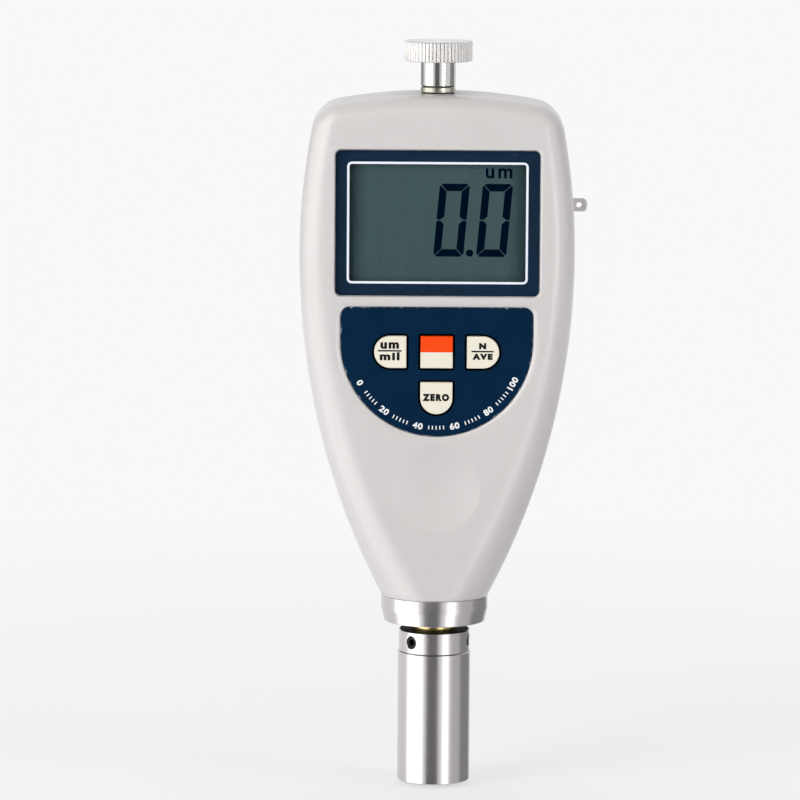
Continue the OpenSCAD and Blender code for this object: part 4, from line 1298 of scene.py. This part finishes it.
class Key(Enum):
    """Keys of the keypad.

    Each has a name, its centre, the direction of its round side, its rows of legend (text, type size, height
    over the centre and stretch) and the width and height over the centre of the bar between two rows.
    """

    UNIT = ("unit", -10.35, 99.5, 180.0, (("um", 2.6, 1.48, 1.16), ("mil", 2.3, -0.92, 1.36)), (5.3, 0.29))
    POWER = ("power", 0.0, 99.5, None, (), None)
    AVERAGE = ("average", 10.35, 99.5, 0.0, (("N", 1.65, 1.46, 1.2), ("AVE", 1.62, -0.92, 1.2)), (4.95, 0.24))
    ZERO = ("zero", 0.0, 89.15, -90.0, (("ZERO", 1.9, 0.2, 0.95),), None)

    def __init__(
        self, stem: str, x: float, z: float, round_side: float | None, rows: tuple, bar: Flat | None
    ) -> None:
        """Names the values."""
        self.stem, self.x, self.z, self.round_side, self.rows, self.bar = stem, x, z, round_side, rows, bar


@dataclass
class Keypad(SubAssembly):
    """Navy film, four keys with their legends, and the white scale along the lower edge."""

    outline: Outline = field(default_factory=lambda: Outline.shield(102.0, 42.8, 7.5, 2.0))
    film_y: float = -13.5
    film_t: float = 0.5
    arc_z: float = 102.0
    key_w: float = 7.2
    key_corner: float = 0.16
    key_gap: float = 0.3
    border_w: float = 0.2
    key_y: float = -13.85
    key_back_y: float = -10.7
    ink: float = 0.012
    legend_shift: float = -0.12
    small_style: Flat = (0.055, 1.22)
    capital_style: Flat = (0.086, 1.36)
    number_style: tuple[float, float, float, float] = (1.9, 0.036, 1.1, 1.1)
    bar_h: float = 0.34
    scale_r: float = 19.5
    tick_l: float = 0.85
    tick_w: float = 0.24
    scale_numbers: tuple[int, ...] = (0, 20, 40, 60, 80, 100)
    scale_sweep: tuple[float, float] = (209.0, 331.0)
    steps_between: int = 10
    number_room: int = 3

    def shape(self, key: Key) -> Outline:
        """Gives a key's outline."""
        return Outline.key(key.x, key.z, self.key_w, self.key_corner, key.round_side)

    def film(self) -> None:
        """Builds the film with its four key holes, each with a black border that runs in under the key."""
        shapes = [self.shape(key) for key in Key]
        gap, border = self.key_gap, self.key_gap + self.border_w
        lip = ((border, 0), (gap + 0.05, 0), (gap, 0.05), (gap - 0.01, 0.44), (0.07, 0.45))
        holes = tuple(Cut(shape, lip) for shape in shapes)
        film = Plate(self.outline, self.film_y, self.film_t, 0.12, False, holes, 1.4, None, False)
        mesh = film.mesh()
        middles = np.array([p.center for p in mesh.polygons])[:, [0, 2]] / MM
        black = np.min([gap_to(shape.ring(), middles) for shape in shapes], 0) < border
        mesh.polygons.foreach_set("material_index", black.astype(np.int32))
        self.piece("keypad_film", mesh, "case", (Finishes.PANEL, Finishes.BORDER), "dark_print", "keypad_panel")

    def keys(self) -> None:
        """Builds the four keys and prints their legends."""
        for key in Key:
            split = key.z if key is Key.POWER else None
            thick = self.key_back_y - self.key_y
            cap = Plate(self.shape(key), self.key_y, thick, 0.22, step=0.9, split_z=split)
            name, body = key.stem + "_cap", key.stem + "_button"
            finish = (Finishes.KEY, Finishes.KEY_ORANGE) if split else Finishes.KEY
            slot = "key_orange" if split else "key_cream"
            self.piece(name, cap.mesh(), body, finish, slot, key.stem + "_key")
            if key.rows:
                self.piece(key.stem + "_legend", self.legend(key), body, Finishes.LEGEND, "dark_print")

    def legend(self, key: Key) -> bpy.types.Mesh:
        """Sets a key's legend flat on its face."""
        spot, meshes = Vector((key.x + self.legend_shift, self.key_y - self.ink, key.z)), []
        for text, size, up, stretch in key.rows:
            style = self.small_style if text.islower() else self.capital_style
            mesh = lettering(text, size, *style, stretch)
            mesh.transform(Matrix.Translation((spot + Vector((0, 0, up))) * MM) @ UPRIGHT)
            meshes.append(mesh)
        if key.bar:
            width, up = key.bar
            bar = strip(width, self.bar_h, 6, 1)
            bar.transform(Matrix.Translation((spot + Vector((0, 0, up))) * MM))
            meshes.append(bar)
        return joined(*meshes)

    def scale(self) -> None:
        """Prints the scale: ticks as copies round the arc, with numbers between them."""
        y = self.film_y - self.ink
        start, end = self.scale_sweep
        count = (len(self.scale_numbers) - 1) * self.steps_between
        tick = strip(self.tick_w, self.tick_l, 1, 3)
        places, turns, numbers = [], [], []
        for i in range(count + 1):
            t = math.radians(start + (end - start) * i / count)
            out = Vector((math.cos(t), 0, math.sin(t)))
            spot = out * self.scale_r + Vector((0, y, self.arc_z))
            if i % self.steps_between:
                if self.number_room <= i % self.steps_between <= self.steps_between - self.number_room:
                    places.append(spot)
                    turns.append((0, -(t + math.pi / 2), 0))
                continue
            mesh = lettering(str(self.scale_numbers[i // self.steps_between]), *self.number_style)
            turned = Matrix.Rotation(-(t + math.pi / 2), 4, "Y") @ UPRIGHT
            mesh.transform(Matrix.Translation(spot * MM) @ turned)
            mesh.materials.clear()
            mesh.materials.append(Finishes.MARK.material)
            numbers.append(mesh)
        ticks = copies(tick, places, turns, Finishes.MARK)
        self.piece("keypad_scale", joined(ticks, *numbers), "case", None, "pale_print")

    def build(self) -> None:
        """Builds every piece of the keypad and dresses what lies behind it."""
        self.film()
        self.keys()
        self.scale()
        self.dress(Finishes.BLACK, *(key.stem + "_plunger" for key in Key), "key_switches")


# Probe and stand screw


@dataclass
class Probe(SubAssembly):
    """Collar, stem, clamp ring with its set screws, barrel and stylus."""

    stem_r: float = 5.0
    bore_r: float = 5.03
    barrel_r: float = 8.2
    barrel_l: float = 29.8
    foot_t: float = 5.5
    bush_r: float = 3.0
    ring_r: float = 8.0
    ring_top: float = 34.75
    collar_low_r: float = 11.4
    collar_r: float = 12.05
    collar_z: float = 36.8
    collar_cone_z: float = 39.7
    base_z: float = 42.8
    screw_z: float = 32.374
    screw_turn: float = 228.0
    screw_r: float = 1.4
    screw_l: float = 2.6
    screw_count: int = 3
    socket_r: float = 0.85
    socket_l: float = 2.4
    hole_lip: tuple[Flat, ...] = ((0.2, 0), (0.1, 0.05), (0.0, 0.18), (-0.02, 2.6))
    ring_steps: int = 156
    ring_rows: int = 8
    stem_bore_r: float = 2.4
    stem_ends: Flat = (6.0, 56.6)
    rod_bore_r: float = 1.03
    bush_ends: Flat = (0.4, 5.5)
    edge: float = 0.14
    spring_r: float = 2.1
    wire_r: float = 0.28
    spring_turns: int = 8
    spring_ends: tuple[float, float] = (26.34, 43.66)

    def turned(self) -> None:
        """Builds the pieces that are turned about the axis."""
        e, r = self.edge, self.barrel_r
        barrel = [
            (self.bush_r + 0.1, 0),
            (r - 0.3, 0),
            (r, 0.3),
            (r, self.barrel_l - e),
            (r - e, self.barrel_l),
            (self.bore_r, self.barrel_l),
            (self.bore_r, self.foot_t),
            (self.bush_r + 0.1, self.foot_t),
        ]
        self.piece("barrel", revolve(barrel, 192), "case", Finishes.STEEL, "turned_steel", "probe_barrel")
        collar = [
            (self.bore_r, self.collar_z),
            (self.collar_low_r - e, self.collar_z),
            (self.collar_low_r + 0.02, self.collar_z + e),
            (self.collar_r - 0.03, self.collar_cone_z - 0.08),
            (self.collar_r, self.collar_cone_z + 0.04),
            (self.collar_r, self.base_z - e),
            (self.collar_r - e, self.base_z),
            (self.bore_r, self.base_z),
        ]
        # The collar's underside takes the second finish: painted shade for the gap above the ring
        mesh = revolve(collar, 192, True, (0,))
        self.piece("collar", mesh, "case", (Finishes.STEEL, Finishes.SEAT), "turned_steel", "body_collar")
        (low, high), bore = self.stem_ends, self.stem_bore_r
        stem = [(bore, low), (self.stem_r, low), (self.stem_r, high), (bore, high)]
        self.piece("stem", revolve(stem, 96), "case", Finishes.BRASS, "stem_brass", "probe_stem")
        (low, high), bore, r = self.bush_ends, self.rod_bore_r, self.bush_r
        bush = [(bore, low), (r - 0.2, low), (r, low + 0.2), (r, high), (bore, high)]
        self.piece("foot_bushing", revolve(bush, 96), "case", Finishes.BRONZE, "bush_bronze", "foot_bush")

    def ring(self) -> None:
        """Builds the clamp ring, pierced for its three set screws."""
        e, r, steps, rows = self.edge, self.ring_r, self.ring_steps, self.ring_rows
        low, high = self.barrel_l + e, self.ring_top - e
        round_way = 2 * math.pi * r
        us = [round_way * i / steps for i in range(steps + 1)]
        vs = [low + (high - low) * j / rows for j in range(rows + 1)]
        border = [(u, low) for u in us] + [(round_way, v) for v in vs[1:-1]]
        border += [(u, high) for u in us[::-1]] + [(0.0, v) for v in vs[-2:0:-1]]
        grid = [(u, v) for u in us[1:-1] for v in vs[1:-1]]
        step = 360 / self.screw_count
        angles = [math.radians(self.screw_turn - step * i) for i in range(self.screw_count)]
        ways = [t % (2 * math.pi) * r for t in angles]
        holes = tuple(Cut(Outline.disc(way, self.screw_z, self.screw_r), self.hole_lip) for way in ways)
        patch, bm = triangulate(border, grid, holes), bmesh.new()
        verts = []
        for (u, v), depth in zip(patch.places, patch.depths):
            verts.append(bm.verts.new(((r - depth) * math.cos(u / r), (r - depth) * math.sin(u / r), v)))
        for f in patch.faces:
            bm.faces.new([verts[i] for i in f])
        outer = to_mesh(bm)
        rest = [(r, high), (r - e, self.ring_top), (self.bore_r, self.ring_top)]
        rest += [(self.bore_r, self.barrel_l), (r - e, self.barrel_l), (r, low)]
        # The ring's top face takes the second finish: painted shade for the gap under the collar
        ends = revolve(rest, steps, False, (1,))
        bm = bmesh.new()
        bm.from_mesh(outer)
        bm.from_mesh(ends)
        bmesh.ops.remove_doubles(bm, verts=bm.verts, dist=2e-6)
        bmesh.ops.recalc_face_normals(bm, faces=bm.faces)
        mesh = smooth(to_mesh(bm, 1.0), 20)
        self.piece("clamp_band", mesh, "case", (Finishes.STEEL, Finishes.SEAT), "turned_steel", "clamp_ring")

    def set_screws(self) -> None:
        """Builds the three set screws as copies of one cup-point screw with a hex socket."""
        r, length, hex_r = self.screw_r - 0.03, self.screw_l, self.socket_r
        blank = [(0, 0), (r, 0), (r, length - 0.2), (r - 0.2, length), (0, length)]
        bit = bmesh.new()
        bmesh.ops.create_cone(
            bit, cap_ends=True, segments=6, radius1=hex_r, radius2=hex_r, depth=self.socket_l
        )
        bmesh.ops.translate(bit, vec=(0, 0, length), verts=bit.verts)
        screw = hollowed(revolve(blank, 36), to_mesh(bit))
        screw.transform(Matrix.Rotation(math.pi / 2, 4, "Y"))
        step = 360 / self.screw_count
        angles = [math.radians(self.screw_turn + step * i) for i in range(self.screw_count)]
        places = [(self.bore_r * math.cos(t), self.bore_r * math.sin(t), self.screw_z) for t in angles]
        mesh = copies(screw, places, [(0, 0, t) for t in angles], Finishes.DARK_STEEL)
        self.piece("grub_screws", mesh, "case", None, "dark_steel", "set_screws")

    def spring(self) -> None:
        """Winds the stylus spring as one coil that stays where it is built."""
        low, high = self.spring_ends
        steps, sides = 28, 10
        count = self.spring_turns * steps
        bm = bmesh.new()
        rings = []
        for i in range(count + 1):
            turn, z, ring = 2 * math.pi * i / steps, low + (high - low) * i / count, []
            for j in range(sides):
                side = 2 * math.pi * j / sides
                r, rise = self.spring_r + self.wire_r * math.cos(side), self.wire_r * math.sin(side)
                ring.append(bm.verts.new((r * math.cos(turn), r * math.sin(turn), z + rise)))
            rings.append(ring)
        for a, b in zip(rings, rings[1:]):
            for j in range(sides):
                k = (j + 1) % sides
                bm.faces.new((a[j], b[j], b[k], a[k]))
        bm.faces.new(rings[0])
        bm.faces.new(rings[-1])
        bmesh.ops.recalc_face_normals(bm, faces=bm.faces)
        coil = link("stylus_coil", smooth(to_mesh(bm), 50))
        coil.data.materials.append(Finishes.PLATED.material)
        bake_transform(coil)
        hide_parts("stylus_spring")
        LOG.info("%s: %d faces", coil.name, len(coil.data.polygons))

    def build(self) -> None:
        """Builds the probe and dresses the stylus and transducer inside it."""
        self.turned()
        self.ring()
        self.set_screws()
        self.dress(Finishes.BRONZE, "stem_bush")
        self.dress(Finishes.STEEL, "stylus_rod", "stylus_stop", "transducer_sleeve")
        self.dress(Finishes.CARBIDE, "stylus_tip")
        self.spring()
        self.dress(Finishes.CORE, "transducer_core")
        self.dress(Finishes.WHITE, "coil_bobbin")
        self.dress(Finishes.COPPER, "coil_windings")
        self.dress(Finishes.BLACK, "transducer_cap")


@dataclass
class StandScrew(SubAssembly):
    """Bush in the crown of the case, washer and fluted screw for a stand."""

    bush_r: float = 3.95
    bore_r: float = 2.53
    top_z: float = 156.4
    bush_top: float = 157.75
    neck_z: float = 158.05
    head_z: float = 163.55
    head_top: float = 168.0
    shank_low: float = 150.25
    head_r: float = 7.65
    core_r: float = 7.34
    groove_h: float = 0.24
    flute_count: int = 56
    land_form: tuple[Flat, ...] = ((0.22, 0), (0.29, -0.03), (0.34, -0.12), (0.36, -0.34))
    land_chamfer: Flat = (0.16, 0.22)
    bush_l: float = 9.9
    neck_d: float = 0.35
    neck_l: float = 0.6
    shank_r: float = 2.5
    thread_pitch: float = 0.8
    thread_form: tuple[Flat, ...] = ((0.4, 0.0), (0.02, 0.42), (0.02, 0.55), (0.4, 0.97))
    edge: float = 0.12

    def bush(self) -> None:
        """Builds the bush that stands a little proud of the crown."""
        e, r = self.edge, self.bush_r
        low, neck, groove = (self.top_z + rise for rise in (-self.bush_l, -self.neck_l, self.groove_h))
        neck_r, top = r - self.neck_d, self.bush_top
        profile = [(self.bore_r, low), (r, low), (r, neck), (neck_r, neck), (neck_r, groove)]
        profile += [(r - 0.05, groove), (r, groove + 0.05), (r, top - e), (r - e, top), (self.bore_r, top)]
        # The neck and its groove take the second finish: painted shade, a dark line where the bush meets the
        # crown
        mesh = revolve(profile, 144, True, (2, 3, 4))
        self.piece("crown_bush", mesh, "case", (Finishes.BUSH, Finishes.SEAT), "turned_steel", "top_bush")

    def land(self) -> bpy.types.Mesh:
        """Builds one land between two flutes, along Z at the rim, with chamfered ends."""
        half = list(self.land_form)
        across = [(-way, out) for way, out in half[::-1]] + half
        low, top, (rise, cut) = self.head_z, self.head_top, self.land_chamfer
        rows = ((low, cut), (low + rise, 0), (top - rise, 0), (top, cut))
        bm = bmesh.new()
        rings = []
        for z, inset in rows:
            rings.append([bm.verts.new((self.head_r + out - inset, way, z)) for way, out in across])
        for a, b in zip(rings, rings[1:]):
            for i in range(len(across) - 1):
                bm.faces.new([a[i], a[i + 1], b[i + 1], b[i]])
        return smooth(to_mesh(bm), 50)

    def knob(self) -> None:
        """Builds the screw: a turned core with the lands of its fluted rim set round it."""
        r, e = self.core_r, self.edge
        turns = int((self.neck_z - self.shank_low - 1.2) / self.thread_pitch)
        starts = [self.shank_low + 0.4 + self.thread_pitch * i for i in range(turns)]
        thread = [(self.shank_r - d, z + self.thread_pitch * k) for z in starts for d, k in self.thread_form]
        core = [
            (0, self.shank_low),
            (self.shank_r - 0.45, self.shank_low),
            *thread,
            (self.shank_r - 0.3, self.neck_z),
            (self.bush_r - e, self.neck_z),
            (self.bush_r, self.neck_z + e),
            (self.bush_r, self.head_z),
            (r - 0.1, self.head_z),
            (r, self.head_z + 0.1),
            (r, self.head_top - 0.1),
            (r - 0.1, self.head_top),
            (0, self.head_top),
        ]
        # The head's underside and the core between the lands take painted shade, and the lands a painted
        # highlight
        sides = range(len(thread) + 5, len(thread) + 8)
        body = revolve(core, 168, False, tuple(sides))
        for finish in (Finishes.KNOB, Finishes.FLUTE):
            body.materials.append(finish.material)
        angles = [2 * math.pi * i / self.flute_count for i in range(self.flute_count)]
        lands = copies(self.land(), [(0, 0, 0)] * self.flute_count, [(0, 0, t) for t in angles], Finishes.LAND)
        self.piece("stand_screw", joined(body, lands), "knob", None, "turned_steel", "stand_knob")

    def build(self) -> None:
        """Builds the bush and the screw, and dresses the washer."""
        self.bush()
        self.knob()
        self.dress(Finishes.BLACK, "knob_washer")


@dataclass
class Inside(SubAssembly):
    """Board, cells and contacts, which show when the battery cover is off."""

    cell_r: float = 5.25
    cell_y: float = 6.6
    cell_pitch: float = 10.9
    cell_low: float = 92.5
    cell_l: float = 44.5
    cell_count: int = 4
    nub_r: float = 1.9
    nub_h: float = 0.8

    def cells(self) -> None:
        """Builds the four cells: a printed sleeve over a drawn can, each copied in turn."""
        r, half = self.cell_r, self.cell_l / 2
        top, nub = half - self.nub_h, self.nub_r
        can = [(0, -half), (r - 1.1, -half), (r - 0.5, -half + 0.3), (r - 0.12, -half + 0.4)]
        can += [(r - 0.12, top - 0.5), (r - 0.6, top), (nub, top)]
        can += [(nub, half - 0.2), (nub - 0.2, half), (0, half)]
        sleeve = [(r - 0.5, -half + 0.35), (r - 0.05, -half + 0.5), (r, -half + 0.8), (r, top - 0.8)]
        sleeve += [(r - 0.05, top - 0.5), (r - 0.9, top - 0.02)]
        count, z = self.cell_count, self.cell_low + half
        places = [((i - (count - 1) / 2) * self.cell_pitch, self.cell_y, z) for i in range(count)]
        turns = [(0 if i % 2 == 0 else math.pi, 0, 0) for i in range(count)]
        cans = copies(revolve(can, 64, False), places, turns, Finishes.PLATED)
        sleeves = copies(revolve(sleeve, 64, False), places, turns, Finishes.LABEL)
        self.piece("cells", joined(sleeves, cans), "case", None, "cell_label", "battery_cells")

    def build(self) -> None:
        """Builds the cells and dresses the rest."""
        self.cells()
        self.dress(Finishes.PLATED, "upper_contacts", "lower_contacts", "board_screws")
        self.dress(Finishes.BOARD, "circuit_board")
        self.dress(Finishes.BLACK, "processor_chip")
        self.dress(Finishes.WHITE, "lead_connector")
        self.dress(Finishes.LEAD, "probe_lead")


# Studio


class Zone(Enum):
    """Where a card stands: distance from the barrel and height of its edges, in metres."""

    LOW = ((0.001, 0.0), (0.36, 0.0))
    MIDDLE = ((0.36, 0.0), (0.9, 0.0))
    HIGH = ((0.9, 0.0), (0.95, 0.0), (0.95, 2.2))
    EYE = ((0.9, 0.0), (0.95, 0.0), (0.95, 0.12))
    SKY = ((0.95, 0.12), (0.95, 0.6))
    CEILING = ((0.001, 1.0), (0.6, 1.0))


# Name, sweep in degrees to the right of the camera, brightness and zone of each reflector card
CARDS = (
    ("dark_low_card", (-25.0, 13.0), 0.16, Zone.LOW),
    ("left_low_card", (-94.0, -36.0), 2.2, Zone.LOW),
    ("left_middle_card", (-94.0, -40.0), 1.6, Zone.MIDDLE),
    ("left_card", (-94.0, -36.0), 1.9, Zone.HIGH),
    ("right_low_card", (27.0, 47.0), 2.2, Zone.LOW),
    ("right_card", (28.0, 42.0), 8.5, Zone.EYE),
    ("right_sky_card", (8.0, 60.0), 0.6, Zone.SKY),
    ("grey_low_card", (54.0, 92.0), 0.6, Zone.LOW),
    ("dim_low_card", (92.0, 150.0), 0.3, Zone.LOW),
    ("fill_card", (-40.0, -8.0), 1.4, Zone.MIDDLE),
    ("front_card", (-8.0, 8.0), 0.5, Zone.MIDDLE),
    ("dark_card", (8.0, 40.0), 0.02, Zone.MIDDLE),
    ("dim_card", (40.0, 80.0), 0.5, Zone.MIDDLE),
    ("dark_high_card", (-23.0, 8.0), 0.03, Zone.EYE),
    ("front_sky_card", (-23.0, 8.0), 0.4, Zone.SKY),
    ("grey_right_card", (84.0, 128.0), 0.3, Zone.HIGH),
    ("grey_left_card", (-150.0, -114.0), 0.35, Zone.HIGH),
    ("ceiling_flag", (-180.0, 180.0), 0.0, Zone.CEILING),
)

# Name, place and size in metres, and power in watts of each lamp
LAMPS = (
    ("left_soft_box", (-0.83, -0.73, 0.45), (0.7, 1.0), 10.25),
    ("right_soft_box", (0.98, -0.5, 0.45), (0.5, 1.0), 4.5),
    ("top_soft_box", (0.0, 0.35, 1.4), (1.0, 1.0), 5.5),
)


@dataclass
class Studio:
    """Floor, soft lamps, reflector cards and camera."""

    floor_z: float = -0.0009
    floor_r: float = 9.0
    white: str = "#F8F8FA"
    target: tuple[float, float, float] = (-0.0081, 0.0, 0.0869)
    distance: float = 1.2
    elevation: float = 7.6
    roll: float = 0.37
    lens: float = 239.3
    barrel_r: float = 0.0082
    shadow_fade: Flat = (0.05, 0.4)
    fill: float = 0.25
    card_rise: float = 0.0002
    card_parts: int = 16
    lamp_aim_z: float = 0.09

    def camera(self) -> None:
        """Stands the camera a little above the gauge, square to its face."""
        data = bpy.data.cameras.new("camera")
        data.lens, data.sensor_width = self.lens, 36.0
        data.clip_start, data.clip_end = 0.05, 60.0
        obj = link("camera", data)
        tilt = math.radians(self.elevation)
        back = Vector((0, -math.cos(tilt), math.sin(tilt)))
        obj.location = Vector(self.target) + back * self.distance
        obj.rotation_mode = "QUATERNION"
        facing = (-back).to_track_quat("-Z", "Y")
        obj.rotation_quaternion = facing @ Quaternion((0, 0, 1), math.radians(self.roll))
        bpy.context.scene.camera = obj

    def seen_white(self, nodes: Nodes) -> Socket:
        """Gives 1 for rays that see the background before they meet any dull surface."""
        path = nodes.add("ShaderNodeLightPath").outputs
        mirrored = nodes.calc("MAXIMUM", path["Is Camera Ray"], path["Is Glossy Ray"])
        seen = nodes.calc("MAXIMUM", mirrored, path["Is Transmission Ray"])
        return nodes.calc("MULTIPLY", seen, nodes.calc("LESS_THAN", path["Diffuse Depth"], 0.5))

    def paint(self, nodes: Nodes) -> Socket:
        """Builds the floor's paint, which shines white to the eye away from the gauge."""
        paint = nodes.add("ShaderNodeBsdfDiffuse", {"Color": linear(self.white)}).outputs["BSDF"]
        glow = nodes.glow(linear(self.white), 1.0)
        away = nodes.add("ShaderNodeVectorMath", {0: nodes.place()}, operation="LENGTH").outputs["Value"]
        share = nodes.calc("MULTIPLY", self.seen_white(nodes), nodes.ranged(away, 0.7, 1.0, *self.shadow_fade))
        return nodes.blend(share, paint, glow)

    def floor(self) -> None:
        """Lays the pale floor, which stays white to the eye and keeps the shadow."""
        bm = bmesh.new()
        bmesh.ops.create_circle(bm, cap_ends=True, segments=64, radius=self.floor_r)
        obj = link("floor", to_mesh(bm, 1.0))
        obj.data.materials.append(surface("matt_white_floor", self.paint))
        obj.location.z = self.floor_z

    def world(self) -> None:
        """Sets a white surround to the eye and a softer fill for the light."""
        made = bpy.data.worlds.new("surround")
        made.use_nodes = True
        made.node_tree.nodes.clear()
        nodes = Nodes(made.node_tree)
        strength = nodes.ranged(self.seen_white(nodes), self.fill, 1.0)
        sky = nodes.add("ShaderNodeBackground", {"Color": linear(self.white), "Strength": strength})
        nodes.add("ShaderNodeOutputWorld", {"Surface": sky.outputs["Background"]})
        bpy.context.scene.world = made

    def lamp(self, name: str, place: tuple[float, float, float], size: Flat, watts: float) -> None:
        """Hangs a soft box that faces the gauge.

        Args:
            name: Name of the lamp.
            place: Where it hangs, in metres.
            size: Its width and height in metres.
            watts: Its power.
        """
        data = bpy.data.lights.new(name, "AREA")
        data.shape, data.size, data.size_y, data.energy = "RECTANGLE", size[0], size[1], watts
        obj = link(name, data)
        obj.location = place
        obj.rotation_mode = "QUATERNION"
        obj.rotation_quaternion = (Vector((0, 0, self.lamp_aim_z)) - Vector(place)).to_track_quat("-Z", "Y")
        obj.visible_camera = obj.visible_glossy = False

    def card(self, name: str, sweep: Flat, strength: float, zone: Zone) -> None:
        """Sets up a reflector card that only shiny surfaces see.

        Args:
            name: Name of the card.
            sweep: Directions between which it stands, in degrees to the right of the camera.
            strength: Brightness, where 1 is white.
            zone: Where it stands; on the floor it follows the barrel's mirror image in straight lines.
        """
        bm, rows, parts = bmesh.new(), [], self.card_parts
        start, end = sweep
        for d, z in zone.value:
            row = []
            for i in range(parts + 1):
                t = math.radians(start + (end - start) * i / parts)
                x = self.barrel_r * math.sin(t / 2) + d * math.sin(t)
                y = -self.barrel_r * math.cos(t / 2) - d * math.cos(t)
                row.append(bm.verts.new((x, y, self.floor_z + self.card_rise + z)))
            rows.append(row)
        for a, b in zip(rows, rows[1:]):
            for i in range(parts):
                bm.faces.new([a[i], a[i + 1], b[i + 1], b[i]])
        obj = link(name, to_mesh(bm, 1.0))
        obj.data.materials.append(surface(name, lambda nodes: nodes.glow((1, 1, 1, 1), strength)))
        obj.visible_camera = obj.visible_diffuse = obj.visible_shadow = False
        obj.visible_transmission = obj.visible_volume_scatter = False

    def build(self) -> None:
        """Builds the studio."""
        self.camera()
        self.floor()
        self.world()
        for lamp in LAMPS:
            self.lamp(*lamp)
        for card in CARDS:
            self.card(*card)
        bpy.context.scene.view_settings.view_transform = "Standard"


def main() -> None:
    """Builds the studio and every sub-assembly."""
    logging.basicConfig(level=logging.INFO, format="%(name)s: %(message)s")
    Studio().build()
    for part in (Case(), Display(), Keypad(), Probe(), StandScrew(), Inside()):
        part.build()
        LOG.info("%s built", type(part).__name__)


if __name__ == "__main__":
    main()
